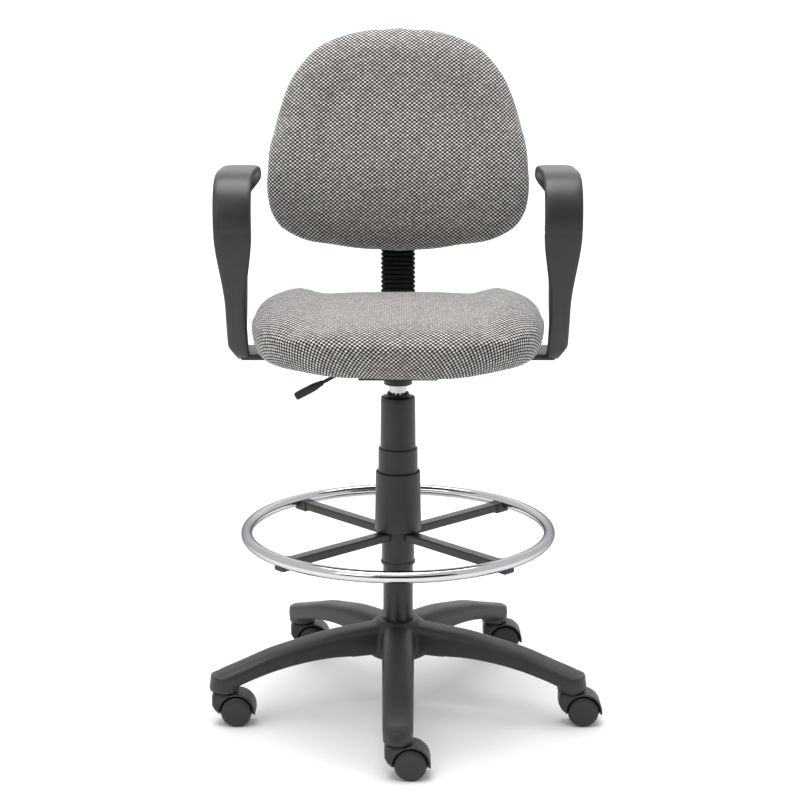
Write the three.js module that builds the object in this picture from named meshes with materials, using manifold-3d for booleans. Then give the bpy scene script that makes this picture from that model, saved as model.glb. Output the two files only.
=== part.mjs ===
// Drafting chair: five-star base on twin-wheel casters, foot ring, telescoping column cover, gas lift,
// contoured seat and back, and loop arms. Millimetres, +Z up, floor at z = 0, sitter faces -Y.

import * as THREE from 'three';
import { mergeVertices } from 'three/addons/utils/BufferGeometryUtils.js';
import { ParametricGeometry } from 'three/addons/geometries/ParametricGeometry.js';
import ManifoldModule from 'manifold-3d';

const wasm = await ManifoldModule();
wasm.setup();

// ---------------------------------------------------------------- driving dimensions

const GAP = 0.3;                    // clearance between touching solids
const RUN = 0.4;                    // radial clearance of a shaft in its bore

// casters
const WHEEL_R = 25;
const WHEEL_W = 14.7;
const WHEEL_SIDES = 16;
const WEB_HALF = 7;                 // half thickness of the hood's middle web
const TRAIL = 19;                   // stem axis to wheel axis
const HOOD_R = WHEEL_R + 5.5;
const HOOD_W = 40;
const AXLE_R = 3;
const STEM_R = 5.5;
const STEM_GRIP = 24;               // length of stem held in the base

// base
const COLUMN_R = 25;                // the steel tube that stands in the hub
const RING_Z = 300;                 // height of the foot ring; the column and its cover rise from it
const LEGS = 5;
const STEM_CIRCLE = 295;
const LEG_REACH = STEM_CIRCLE + 25;
const SOCKET_Z = 56;
const SOCKET_R = 23;
const LEG_W_ROOT = 54;
const LEG_W_TIP = 47;
const LEG_WALL = 5;
const HUB_R = COLUMN_R + 25;
const HUB_BOTTOM = 88;
const HUB_TOP = 148;
const HUB_COLLAR_R = COLUMN_R + 8;

// column and gas lift
const COLUMN_WALL = 2;
const COLUMN_BOTTOM = 84;
const COLUMN_TOP = RING_Z + 94;
const COLUMN_TAPER = 60;            // length of the taper that wedges into the hub
const TAPER_DROP = 1.2;             // loss of radius over the taper
const GUIDE_LENGTH = 66;
const CYLINDER_R = 14;
const CYLINDER_WALL = 1.6;
const CYLINDER_BOTTOM = 104;
const CYLINDER_TOP = 583;
const ROD_R = 5;
const BEARING_H = 8;
const BUTTON_R = 3;
const BUTTON_STAND = 6;             // height of the release button over the cylinder

// foot ring
const RING_R = 257;
const RING_TUBE_R = 9.5;
const SLEEVE_R = COLUMN_R + 1.9;
const SLEEVE_BOTTOM = RING_Z - 56;
const SLEEVE_TOP = RING_Z + 2;
const SPOKE_W = 20;
const SPOKE_H = 14;
const SPOKES = 4;
const SPOKE_TURN = 43;             // degrees from +X to the first spoke
const SPOKE_END = RING_R - 2 * RING_TUBE_R - 4.5;
const SADDLE = { width: SPOKE_W + 3, inner: SPOKE_END - 9, outer: RING_R - 5, low: RING_Z - 17, high: RING_Z + 2 };
const RING_KNOB_R = 16;
const RING_KNOB_Z = RING_Z - 40;

// telescoping cover
const COVER_WALL = 2;
const LOWER_R = [COLUMN_R + 13, COLUMN_R + 11.4];
const LOWER_Z = [SLEEVE_TOP + GAP, SLEEVE_TOP + 98];
const MIDDLE_R = [COLUMN_R + 8, COLUMN_R + 7];
const MIDDLE_Z = [SLEEVE_TOP + 6, SLEEVE_TOP + 137];
const UPPER_R = [COLUMN_R + 4.8, COLUMN_R + 2.8];
const UPPER_Z = [SLEEVE_TOP + 56, 528];

// mechanism under the seat
const SOCKET_BOTTOM = 545;
const SOCKET_OUTER_R = 23;
const HOUSING = { left: -62, right: 62, front: -78, back: 132, bottom: 566, top: 602, wall: 3 };
const PIVOT = { x: -40, z: 590 };   // lift lever pivot, axis along Y
const LEVER_ROD_R = 3;
const LEVER_SLOPE = 28;             // degrees below level outside the housing
const PADDLE = { start: 92, length: 50, width: 15, thick: 13 };
const BAR_W = 44;
const BAR_T = 8;
const BAR_Z = 578;
const BAR_FRONT = 42;
const BAR_BACK = 242;               // middle line of the upright, at the height of the level part
const BAR_BEND = 34;
const BAR_TOP = 872;
const BACK_LEAN = 8;                // degrees, bar and back lean away from the sitter
const DEPTH_TRAVEL = 25;
const BRACKET = { z: 800, halfW: 38, halfH: 52, rear: 9 };
const BELLOWS = { low: 622, ribs: 16, pitch: 7.9, halfX: 30, halfY: 15, depth: 3.4 };

// seat
const SEAT_HALF_W = 233;
const SEAT_HALF_D = 214;
const BOARD_BOTTOM = HOUSING.top + 0.8;
const BOARD_T = 12;
const BOARD_INSET = 26;
const SEAT_TOP = 666;
const BOLSTER = 24;

// back
const BACK_BOTTOM = { y: 212, z: 733 };
const BACK_LENGTH = 372;
const BACK_HALF_W = 221;
const BACK_THICK = 56;
const BACK_BOARD_T = 10;
const SHELL_T = 4;
const SHELL_CLEAR = 3;              // space between the board and the rear shell
const SHELL_REAR = BACK_BOARD_T + SHELL_CLEAR + SHELL_T;

// arms
const ARM_TOP = 892;
const ARM_BOTTOM = 590;
const ARM_FOOT_HALF = 46;
const ARM_CENTRE = SEAT_HALF_W + 18; // middle of the strap from the chair's middle plane
const ARM_PAD_W = 58;
const ARM_LEG_W = 32;
const ARM_REAR_W = 26;
const ARM_REAR_OUT = 9;             // the rear leg stands this much further out than the front leg
const ARM_STRAP_T = 14;
const ARM_PLATE_REACH = SEAT_HALF_W - 83;       // how far in under the seat the foot plate reaches

const rad = THREE.MathUtils.degToRad;

// ---------------------------------------------------------------- finishes

const finish = (color, roughness, metalness = 0) => new THREE.MeshStandardMaterial({ color, roughness, metalness });
const nylon = finish(0x3c3c3e, 0.55);
const polypropylene = finish(0x444446, 0.6);
const blackPaint = finish(0x232324, 0.45, 0.3);
const chrome = finish(0xd8d8da, 0.12, 1);
const steel = finish(0x9a9a9c, 0.35, 1);
const tweed = finish(0x8e8b88, 0.95);
const plywood = finish(0xb08a5a, 0.8);
const softRubber = finish(0x1e1e1e, 0.8);
const acetal = finish(0xe6e2d8, 0.5);

// ---------------------------------------------------------------- solids and joins

// Welds a geometry's corners and leaves out triangles that have shrunk to a line.
function weld(geometry) {
  const bare = geometry.clone();
  bare.deleteAttribute('normal');
  bare.deleteAttribute('uv');
  const welded = mergeVertices(bare, 1e-3);
  const index = welded.index.array;
  const kept = [];
  for (let i = 0; i < index.length; i += 3) {
    const [a, b, c] = [index[i], index[i + 1], index[i + 2]];
    if (a !== b && b !== c && c !== a) kept.push(a, b, c);
  }
  welded.setIndex(kept);
  return welded;
}

function toSolid(geometry) {
  const welded = weld(geometry);
  const triVerts = new Uint32Array(welded.index.array);
  const vertProperties = new Float32Array(welded.attributes.position.array);
  return new wasm.Manifold(new wasm.Mesh({ numProp: 3, vertProperties, triVerts }));
}

function toGeometry(solid) {
  const mesh = solid.getMesh();
  const geometry = new THREE.BufferGeometry();
  geometry.setAttribute('position', new THREE.BufferAttribute(new Float32Array(mesh.vertProperties), 3));
  geometry.setIndex(Array.from(mesh.triVerts));
  return geometry;
}

const join = (...parts) => parts.map(toSolid).reduce((a, b) => a.add(b));
const cut = (body, ...tools) => toGeometry(tools.map(toSolid).reduce((a, b) => a.subtract(b), toSolid(body)));
const fuse = (...parts) => toGeometry(join(...parts));

// A closed profile of [radius, height] points turned about Z.
function turned(points, segments = 24) {
  const closed = [...points, points[0]].map(([r, z]) => new THREE.Vector2(r, z));
  return outward(new THREE.LatheGeometry(closed, segments).rotateX(Math.PI / 2));
}

function rod(radius, z0, z1, segments = 14) {
  return turned([[0, z0], [radius, z0], [radius, z1], [0, z1]], segments);
}

function tube(outer, inner, z0, z1, segments = 24) {
  return turned([[inner, z0], [outer, z0], [outer, z1], [inner, z1]], segments);
}

function block(x0, x1, y0, y1, z0, z1) {
  return new THREE.BoxGeometry(x1 - x0, y1 - y0, z1 - z0).translate((x0 + x1) / 2, (y0 + y1) / 2, (z0 + z1) / 2);
}

// A surface point(u, v), both from 0 to 1, that closes on itself.
function surface(point, nu, nv) {
  return outward(new ParametricGeometry((u, v, target) => target.copy(point(u, v)), nu, nv));
}

// The welded geometry with its faces turned outwards.
function outward(geometry) {
  const welded = weld(geometry);
  const p = welded.attributes.position;
  const [a, b, c] = [new THREE.Vector3(), new THREE.Vector3(), new THREE.Vector3()];
  let volume = 0;
  for (let i = 0; i < welded.index.count; i += 3) {
    [a, b, c].forEach((corner, k) => corner.fromBufferAttribute(p, welded.index.getX(i + k)));
    volume += a.dot(b.cross(c));
  }
  if (volume < 0) welded.setIndex(Array.from(welded.index.array).reverse());
  return welded;
}

const power = (x, n) => Math.sign(x) * Math.abs(x) ** n;
const smooth = (x, a, b) => THREE.MathUtils.smoothstep(x, a, b);
const mix = THREE.MathUtils.lerp;

// A rounded rectangle's point at u of its way round, from its half sizes and its squareness.
function rounded(u, halfX, halfY, squareness) {
  const t = u * 2 * Math.PI;
  return new THREE.Vector2(halfX * power(Math.cos(t), 2 / squareness), halfY * power(Math.sin(t), 2 / squareness));
}

// A star knob about Z: a lobed grip from z0 to z1 and a screw of the given length below it.
function starKnob(radius, z0, z1, screwR, screwEnd) {
  const grip = surface((u, v) => {
    const t = u * 2 * Math.PI;
    const edge = radius * (0.9 + 0.1 * Math.cos(5 * t));
    const [share, height] = [[0, z0], [0.94, z0], [1, z0 + 2], [1, z1 - 2], [0.9, z1], [0, z1]][Math.round(v * 5)];
    return new THREE.Vector3(edge * share * Math.cos(t), edge * share * Math.sin(t), height);
  }, 20, 5);
  return fuse(grip, rod(screwR, screwEnd, z0 + 1, 8));
}

// ---------------------------------------------------------------- base and casters

const chair = new THREE.Group();

function add(parent, name, geometry, material) {
  const mesh = new THREE.Mesh(geometry, material);
  mesh.name = name;
  parent.add(mesh);
  return mesh;
}

// Heights of a leg's top and underside at a distance from the column, as smooth curves through stations.
const legTop = new THREE.CatmullRomCurve3([
  [0, 145], [0.2, 140], [0.371, 135], [0.542, 126], [0.709, 116], [0.876, 101], [1, 90],
].map(([share, z]) => new THREE.Vector3(mix(20, STEM_CIRCLE, share), 0, z))
  .concat([new THREE.Vector3(LEG_REACH - 4, 0, 78), new THREE.Vector3(LEG_REACH, 0, 62)]));
const legUnder = new THREE.CatmullRomCurve3([
  [0, 92], [0.2, 92], [0.371, 94], [0.542, 91], [0.709, 83], [0.855, 72], [0.964, 62],
].map(([share, z]) => new THREE.Vector3(mix(20, STEM_CIRCLE, share), 0, z))
  .concat([new THREE.Vector3(LEG_REACH - 5, 0, 59), new THREE.Vector3(LEG_REACH - 1, 0, 58)]));

// One leg along +X: at each station the section is a crown over straight sides.
function leg(inset, from, to, lift, sides, stations) {
  return surface((u, v) => {
    const along = mix(from, to, v);
    const top = legTop.getPoint(along);
    const under = legUnder.getPoint(along);
    const closes = v === 0 || v === 1 ? 0 : 1;
    const shrink = 1 - 0.35 * smooth(v, 0.93, 1);
    const half = (mix(LEG_W_ROOT, LEG_W_TIP, along) / 2 - inset) * shrink * closes;
    const [s, h] = rounded(u + 0.5 / sides, 1, 1, 3.2).toArray();
    const share = closes ? (h + 1) / 2 : 0.5;
    const low = new THREE.Vector3(under.x, 0, under.z + lift);
    const high = new THREE.Vector3(top.x, 0, top.z - inset);
    return low.lerp(high, share).add(new THREE.Vector3(0, half * s, 0));
  }, sides, stations);
}

const stemTop = SOCKET_Z + STEM_GRIP;

function baseShape() {
  const hub = turned([
    [0, HUB_BOTTOM], [HUB_R - 4, HUB_BOTTOM], [HUB_R, HUB_BOTTOM + 4], [HUB_R, 128], [44, 139], [37, 144],
    [HUB_COLLAR_R, HUB_TOP], [0, HUB_TOP],
  ], 24);
  let body = toSolid(hub);
  let pockets = null;
  for (let i = 0; i < LEGS; i++) {
    const turn = -Math.PI / 2 + (i * 2 * Math.PI) / LEGS;
    const socket = rod(SOCKET_R, SOCKET_Z, 84).translate(STEM_CIRCLE, 0, 0).rotateZ(turn);
    body = body.add(toSolid(leg(0, 0, 1, 0, 10, 10).rotateZ(turn))).add(toSolid(socket));
    const bore = rod(STEM_R + RUN, SOCKET_Z - 5, stemTop + 1, 12).translate(STEM_CIRCLE, 0, 0).rotateZ(turn);
    const hollow = toSolid(leg(LEG_WALL, 0.2, 0.76, -30, 6, 4).rotateZ(turn));
    pockets = pockets ? pockets.add(hollow).add(toSolid(bore)) : hollow.add(toSolid(bore));
  }
  const columnBore = turned([
    [0, HUB_BOTTOM - 5], [COLUMN_R - TAPER_DROP + GAP, HUB_BOTTOM - 5], [COLUMN_R - TAPER_DROP + GAP, COLUMN_BOTTOM],
    [COLUMN_R + GAP, COLUMN_BOTTOM + COLUMN_TAPER], [COLUMN_R + GAP, HUB_TOP + 5], [0, HUB_TOP + 5],
  ]);
  return toGeometry(body.subtract(pockets).subtract(toSolid(columnBore)));
}

// The hood seen along the axle: a rim round the wheels joined to an upright post for the stem.
function hoodShape() {
  const axle = [TRAIL, WHEEL_R];
  const arc = (radius, from, to, count) => Array.from({ length: count }, (_, i) => {
    const t = rad(mix(from, to, i / (count - 1)));
    return [axle[0] + radius * Math.cos(t), axle[1] + radius * Math.sin(t)];
  });
  const extrude = (points, halfWidth) => {
    const shape = new THREE.Shape(points.map(([x, z]) => new THREE.Vector2(x, z)));
    const geometry = new THREE.ExtrudeGeometry(shape, { depth: 2 * halfWidth, bevelEnabled: false });
    return geometry.translate(0, 0, -halfWidth).rotateX(Math.PI / 2);
  };
  const top = SOCKET_Z - GAP * 2;
  const rim = [...arc(HOOD_R, -6, 92, 7), [12, top], [-17, top], [-20, top - 4], [-20, 36], [-17, 29],
    [-8.6, 22], ...arc(WHEEL_R + 2.4, 186, -6, 9)];
  const web = [...arc(WHEEL_R + 4, -6, 190, 6), ...arc(7, 230, 310, 3)];
  const boss = rod(9.5, 30, top, 10);
  const body = fuse(extrude(rim, HOOD_W / 2), extrude(web, WEB_HALF), boss);
  const axleHole = rod(AXLE_R + GAP, -WEB_HALF - 9, WEB_HALF + 9, 12).rotateX(Math.PI / 2).translate(TRAIL, 0, WHEEL_R);
  const stemHole = rod(STEM_R + GAP, 36, SOCKET_Z + 5, 12);
  const clearance = [-1, 1].map((side) => wheelEnvelope().rotateX(side * Math.PI / 2)
    .translate(TRAIL, 0, WHEEL_R));
  return cut(body, axleHole, stemHole, ...clearance);
}

const wheelInner = WEB_HALF + GAP;
const wheelCorner = WHEEL_R / Math.cos(Math.PI / WHEEL_SIDES);

// The space that one wheel turns in, along +Z from the middle of the caster.
function wheelEnvelope() {
  return rod(WHEEL_R + 1.4, WEB_HALF, WEB_HALF + WHEEL_W + 8, 20);
}

function wheelShape() {
  const outer = wheelInner + WHEEL_W;
  return turned([
    [0, outer], [wheelCorner - 4, outer - 0.8], [wheelCorner, outer - 4], [wheelCorner, wheelInner + 1],
    [wheelCorner - 1, wheelInner], [AXLE_R + RUN, wheelInner], [AXLE_R + RUN, outer - 5], [0, outer - 5],
  ], WHEEL_SIDES).rotateZ(Math.PI / WHEEL_SIDES);
}

function addCaster(index) {
  const turn = -Math.PI / 2 + (index * 2 * Math.PI) / LEGS;
  const caster = new THREE.Group();
  caster.position.set(STEM_CIRCLE * Math.cos(turn), STEM_CIRCLE * Math.sin(turn), 0);
  const name = (piece) => `caster_${index + 1}_${piece}`;
  add(caster, name('hood'), hoodShape(), nylon);
  add(caster, name('stem'), turned([
    [0, 36 + GAP], [STEM_R, 36 + GAP], [STEM_R, stemTop - 2], [STEM_R - 1.5, stemTop], [0, stemTop],
  ], 12), steel);
  const axleHalf = wheelInner + WHEEL_W - 6;
  add(caster, name('axle'), rod(AXLE_R, -axleHalf, axleHalf, 12).rotateX(Math.PI / 2)
    .translate(TRAIL, 0, WHEEL_R), steel);
  add(caster, name('wheel_front'), wheelShape().rotateX(Math.PI / 2).translate(TRAIL, 0, WHEEL_R), nylon);
  add(caster, name('wheel_rear'), wheelShape().rotateX(-Math.PI / 2).translate(TRAIL, 0, WHEEL_R), nylon);
  chair.add(caster);
}

// ---------------------------------------------------------------- column, gas lift and cover

function columnShape() {
  const inner = COLUMN_R - COLUMN_WALL;
  const floor = COLUMN_BOTTOM + 4;
  return turned([
    [ROD_R + 1, COLUMN_BOTTOM], [COLUMN_R - TAPER_DROP, COLUMN_BOTTOM], [COLUMN_R, COLUMN_BOTTOM + COLUMN_TAPER],
    [COLUMN_R, COLUMN_TOP], [inner, COLUMN_TOP], [inner, COLUMN_BOTTOM + COLUMN_TAPER],
    [inner - TAPER_DROP, floor], [ROD_R + 1, floor],
  ]);
}

const bearingZ = COLUMN_BOTTOM + 4 + GAP;
const pistonZ = CYLINDER_TOP - 75;

function gasCylinderShape() {
  const bore = CYLINDER_R - CYLINDER_WALL;
  return turned([
    [ROD_R + GAP, CYLINDER_BOTTOM], [CYLINDER_R - 1.5, CYLINDER_BOTTOM], [CYLINDER_R, CYLINDER_BOTTOM + 2],
    [CYLINDER_R, SOCKET_BOTTOM], [CYLINDER_R - 0.7, CYLINDER_TOP - 3], [CYLINDER_R - 3, CYLINDER_TOP],
    [BUTTON_R + GAP, CYLINDER_TOP], [BUTTON_R + GAP, CYLINDER_TOP - 40], [bore, CYLINDER_TOP - 42],
    [bore, CYLINDER_BOTTOM + 8], [ROD_R + GAP, CYLINDER_BOTTOM + 8],
  ], 20);
}

function pistonRodShape() {
  const head = CYLINDER_R - CYLINDER_WALL - RUN;
  const foot = COLUMN_BOTTOM - 5;
  return turned([
    [0, foot], [ROD_R, foot], [ROD_R, pistonZ - 10], [head, pistonZ - 10], [head, pistonZ], [0, pistonZ],
  ], 16);
}

// One sleeve of the cover, with an inner lip of the given radius at its bottom or its top.
function coverShape([r0, r1], [z0, z1], lip = null, atTop = false) {
  const [i0, i1] = [r0 - COVER_WALL, r1 - COVER_WALL];
  if (lip === null) return turned([[i0, z0], [r0, z0], [r1, z1], [i1, z1]], 28);
  if (atTop) return turned([[i0, z0], [r0, z0], [r1, z1 - 3], [r1 - 3, z1], [lip, z1], [lip, z1 - 5], [i1, z1 - 5]], 28);
  return turned([[lip, z0], [r0, z0], [r1, z1], [i1, z1], [i0, z0 + 4], [lip, z0 + 4]], 28);
}

// ---------------------------------------------------------------- foot ring

const ringCentre = RING_R - RING_TUBE_R;
const spokeTop = RING_Z + 1;

function ringShape(tubeRadius) {
  return new THREE.TorusGeometry(ringCentre, tubeRadius, 8, 48).translate(0, 0, RING_Z);
}

function ringHubShape() {
  const sleeve = turned([
    [0, SLEEVE_BOTTOM], [SLEEVE_R + 1, SLEEVE_BOTTOM], [SLEEVE_R, SLEEVE_BOTTOM + 2], [SLEEVE_R, SLEEVE_TOP],
    [0, SLEEVE_TOP],
  ], 28);
  const spokes = Array.from({ length: SPOKES }, (_, i) => block(0, SPOKE_END, -SPOKE_W / 2, SPOKE_W / 2,
    spokeTop - SPOKE_H, spokeTop).rotateZ(rad(SPOKE_TURN + (i * 360) / SPOKES)));
  const knobBoss = rod(9, 0, SLEEVE_R + 6, 20).rotateX(-Math.PI / 2).translate(0, 0, RING_KNOB_Z);
  const bore = rod(COLUMN_R + RUN, SLEEVE_BOTTOM - 5, SLEEVE_TOP + 5, 28);
  const screwHole = rod(4 + RUN, 0, 60, 16).rotateX(-Math.PI / 2).translate(0, 0, RING_KNOB_Z);
  return cut(fuse(sleeve, ...spokes, knobBoss), bore, screwHole);
}

function ringSaddleShape() {
  const { width, inner, outer, low, high } = SADDLE;
  const body = block(inner, outer, -width / 2, width / 2, low, high);
  const spokeSlot = block(0, SPOKE_END + GAP, -SPOKE_W / 2 - GAP, SPOKE_W / 2 + GAP,
    spokeTop - SPOKE_H - GAP, RING_Z + 5);
  return (turn) => cut(body.clone().rotateZ(turn), spokeSlot.clone().rotateZ(turn), ringShape(RING_TUBE_R + GAP * 2));
}

// ---------------------------------------------------------------- mechanism

function housingShape() {
  const { left, right, front, back, bottom, top, wall } = HOUSING;
  const shell = block(left, right, front, back, bottom, top);
  const inside = block(left + wall, right - wall, front + wall, back - wall, bottom - 5, top - wall);
  const tray = cut(shell, inside);
  const socket = rod(SOCKET_OUTER_R, SOCKET_BOTTOM, top - 1, 24);
  const barGuide = block(-BAR_W / 2 - 6, BAR_W / 2 + 6, BAR_FRONT - 14, back - 1, BAR_Z - BAR_T / 2 - 5, top - 1);
  const lugs = [-1, 1].map((side) => block(PIVOT.x - 6, PIVOT.x + 6, side * 9 - 2, side * 9 + 2, PIVOT.z - 7, top - 1));
  const gasBore = turned([
    [0, SOCKET_BOTTOM - 5], [CYLINDER_R + GAP, SOCKET_BOTTOM - 5], [CYLINDER_R + GAP, CYLINDER_TOP + GAP],
    [0, CYLINDER_TOP + GAP],
  ], 20);
  const buttonWell = block(-30, 12, -7, 7, CYLINDER_TOP - 8, top - wall - 1);
  const barSlot = block(-BAR_W / 2 - GAP, BAR_W / 2 + GAP, BAR_FRONT - 8 - DEPTH_TRAVEL, back + 10,
    BAR_Z - BAR_T / 2 - GAP, BAR_Z + BAR_T / 2 + GAP);
  const leverSlot = block(left - 5, left + wall + 5, -6, 6, bottom - 3, top - wall - 2);
  const pinHole = rod(2 + GAP, -20, 20, 12).rotateX(Math.PI / 2).translate(PIVOT.x, 0, PIVOT.z);
  const knobHole = rod(4 + RUN, bottom - 30, BAR_Z, 16).translate(0, back - 22, 0);
  return cut(fuse(tray, socket, barGuide, ...lugs), gasBore, buttonWell, barSlot, leverSlot, pinHole, knobHole);
}

// The lever lies level over the release button and slopes down once past its pivot.
function leverShape() {
  const slope = rad(LEVER_SLOPE);
  const inner = block(PIVOT.x - 3, 6, -4, 4, PIVOT.z - 1 + GAP, PIVOT.z + 5);
  const eye = rod(5, -5, 5, 16).rotateX(Math.PI / 2).translate(PIVOT.x, 0, PIVOT.z);
  const shank = rod(LEVER_ROD_R, 0, PADDLE.start + 22, 8).rotateY(-Math.PI / 2 - slope).translate(PIVOT.x, 0, PIVOT.z);
  const hole = rod(2 + GAP, -20, 20, 12).rotateX(Math.PI / 2).translate(PIVOT.x, 0, PIVOT.z);
  return cut(fuse(inner, eye, shank), hole);
}

function paddleShape() {
  const slope = rad(LEVER_SLOPE);
  const grip = surface((u, v) => {
    const closes = v === 0 || v === 1 ? 0 : 1;
    const swell = mix(0.72, 1, smooth(v, 0, 0.35)) * closes;
    const p = rounded(u, PADDLE.width / 2, PADDLE.thick / 2, 3.4).multiplyScalar(swell);
    return new THREE.Vector3(p.y, p.x, PADDLE.start + PADDLE.length * Math.min(Math.max((v - 0.05) / 0.9, 0), 1));
  }, 12, 8);
  const bore = rod(LEVER_ROD_R + GAP, 0, PADDLE.start + 22 + GAP, 10);
  return cut(grip, bore).rotateY(-Math.PI / 2 - slope).translate(PIVOT.x, 0, PIVOT.z);
}

// Middle line of the back bar in the Y-Z plane: level under the seat, then up along the lean.
function barLine() {
  const lean = rad(BACK_LEAN);
  const rise = BAR_TOP - BAR_Z;
  const corner = new THREE.Vector3(0, BAR_BACK, BAR_Z);
  const up = new THREE.Vector3(0, Math.sin(lean), Math.cos(lean));
  const start = new THREE.Vector3(0, BAR_FRONT, BAR_Z);
  const line = new THREE.CurvePath();
  const before = corner.clone().add(new THREE.Vector3(0, -BAR_BEND, 0));
  const after = corner.clone().addScaledVector(up, BAR_BEND);
  line.add(new THREE.LineCurve3(start, before));
  line.add(new THREE.QuadraticBezierCurve3(before, corner, after));
  line.add(new THREE.LineCurve3(after, corner.clone().addScaledVector(up, rise)));
  return line;
}

// A point on the bar's upright at a height, and the directions along it and away from the sitter.
function onBar(z) {
  const lean = rad(BACK_LEAN);
  return new THREE.Vector3(0, BAR_BACK + (z - BAR_Z) * Math.tan(lean), z);
}

function backBarShape() {
  const [halfW, halfT] = [BAR_W / 2, BAR_T / 2];
  const line = barLine();
  const corners = [[-halfW, -halfT], [halfW, -halfT], [halfW, halfT], [-halfW, halfT]];
  const [levelEnd, bendEnd, total] = line.getCurveLengths();
  const stations = [0, ...[0, 0.2, 0.4, 0.6, 0.8, 1].map((k) => mix(levelEnd, bendEnd, k)), total];
  const last = stations.length + 1;
  return surface((u, v) => {
    const i = Math.round(v * last);
    const t = stations[Math.min(Math.max(i - 1, 0), stations.length - 1)] / total;
    const point = line.getPoint(t);
    const along = line.getTangent(t);
    const normal = new THREE.Vector3(0, -along.z, along.y);
    const open = i === 0 || i === last ? 0 : 1;
    const [x, n] = corners[Math.round(u * 4) % 4];
    return point.add(new THREE.Vector3(x * open, 0, 0)).addScaledVector(normal, n * open);
  }, 4, last);
}

// Turns a shape whose Z runs up the bar and whose +Y points away from the sitter, and sets it at height z.
const alongBar = (geometry, z) => {
  const at = onBar(z);
  return geometry.rotateX(-rad(BACK_LEAN)).translate(at.x, at.y, at.z);
};

function bellowsShape() {
  const levels = BELLOWS.ribs * 2;
  const length = BELLOWS.ribs * BELLOWS.pitch;
  const skin = surface((u, v) => {
    const i = Math.round(v * (levels + 2));
    const open = i === 0 || i === levels + 2 ? 0 : 1;
    const step = Math.min(Math.max(i - 1, 0), levels);
    const inset = step % 2 ? 0 : BELLOWS.depth;
    const p = rounded(u + 1 / 16, BELLOWS.halfX - inset, BELLOWS.halfY - inset, 5).multiplyScalar(open);
    return new THREE.Vector3(p.x, p.y, (step / levels) * length);
  }, 8, levels + 2);
  const bore = block(-BAR_W / 2 - 0.8, BAR_W / 2 + 0.8, -BAR_T / 2 - 0.8, BAR_T / 2 + 0.8, -5, length + 5);
  return alongBar(cut(skin, bore), BELLOWS.low);
}

// ---------------------------------------------------------------- seat

// The seat cushion's skin grows from the middle of its underside, round its edge, to the middle of its top.
// Each ring has a share of the outline and a share of the height.
const PAD_RINGS = [[0, 0], [0.6, 0], [0.9, 0], [0.965, 0.1], [0.995, 0.3], [1, 0.5], [0.985, 0.72], [0.94, 0.9],
  [0.84, 0.99], [0.6, 1], [0.3, 1], [0, 1]];

function seatTop(x, y) {
  const side = smooth(Math.abs(x) / SEAT_HALF_W, 0.3, 0.78) * smooth(-Math.abs(y - 40) / SEAT_HALF_D, -0.95, -0.3);
  const front = 10 * smooth(-y / SEAT_HALF_D, 0.55, 1);
  return SEAT_TOP + BOLSTER * side - front;
}

function seatCushionShape() {
  const bottom = BOARD_BOTTOM + BOARD_T + GAP;
  const skin = surface((u, v) => {
    const [share, height] = PAD_RINGS[Math.round(v * (PAD_RINGS.length - 1))];
    const p = rounded(u, SEAT_HALF_W, SEAT_HALF_D, 3).multiplyScalar(share);
    const low = BOARD_BOTTOM - 12 * smooth(-p.y / SEAT_HALF_D, 0.35, 0.85);
    return new THREE.Vector3(p.x, p.y, mix(low, seatTop(p.x, p.y), height));
  }, 28, PAD_RINGS.length - 1);
  const recess = boardBlank(SEAT_HALF_W - BOARD_INSET + GAP, SEAT_HALF_D - BOARD_INSET + GAP, BOARD_BOTTOM - 20, bottom);
  return cut(skin, recess);
}

function boardBlank(halfX, halfY, z0, z1) {
  const shape = new THREE.Shape(Array.from({ length: 24 }, (_, i) => rounded(i / 24, halfX, halfY, 3.2)));
  return new THREE.ExtrudeGeometry(shape, { depth: z1 - z0, bevelEnabled: false }).translate(0, 0, z0);
}

// ---------------------------------------------------------------- back

// Half widths up the back, from its bottom edge to its top, in shares of its length and half width.
const backOutline = new THREE.CatmullRomCurve3([
  [0, 0], [0.27, 0.01], [0.5, 0.03], [0.71, 0.055], [0.88, 0.105], [0.95, 0.155], [0.985, 0.21], [1, 0.29], [0.995, 0.37],
  [0.98, 0.47], [0.935, 0.58], [0.875, 0.69], [0.79, 0.79], [0.635, 0.895], [0.46, 0.95], [0.24, 0.987], [0, 1],
].map(([x, z]) => new THREE.Vector3(x, 0, z)));

function backEdge(u) {
  const half = u < 0.5 ? u * 2 : 2 - u * 2;
  const p = backOutline.getPoint(half);
  return new THREE.Vector2((u < 0.5 ? 1 : -1) * p.x * BACK_HALF_W, (p.z - 0.5) * BACK_LENGTH);
}

// How far forward the back's middle surface stands: its sides wrap forward and its lower part bulges.
function backBow(x, w) {
  return 30 * (x / BACK_HALF_W) ** 2 + 12 * Math.exp(-(((w + 70) / 90) ** 2));
}

// A layer of the back between two depths behind its middle surface, as [share of outline, share of depth] rings.
function backLayer(rings, front, rear) {
  return surface((u, v) => {
    const [share, depth] = rings[Math.round(v * (rings.length - 1))];
    const { x, y: w } = backEdge(u).multiplyScalar(share);
    return new THREE.Vector3(x, mix(front, rear, depth) - backBow(x, w), w);
  }, 32, rings.length - 1).rotateX(-rad(BACK_LEAN)).translate(0, backCentre.y, backCentre.z);
}

const backCentre = {
  y: BACK_BOTTOM.y + Math.sin(rad(BACK_LEAN)) * BACK_LENGTH / 2,
  z: BACK_BOTTOM.z + Math.cos(rad(BACK_LEAN)) * BACK_LENGTH / 2,
};

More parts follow.
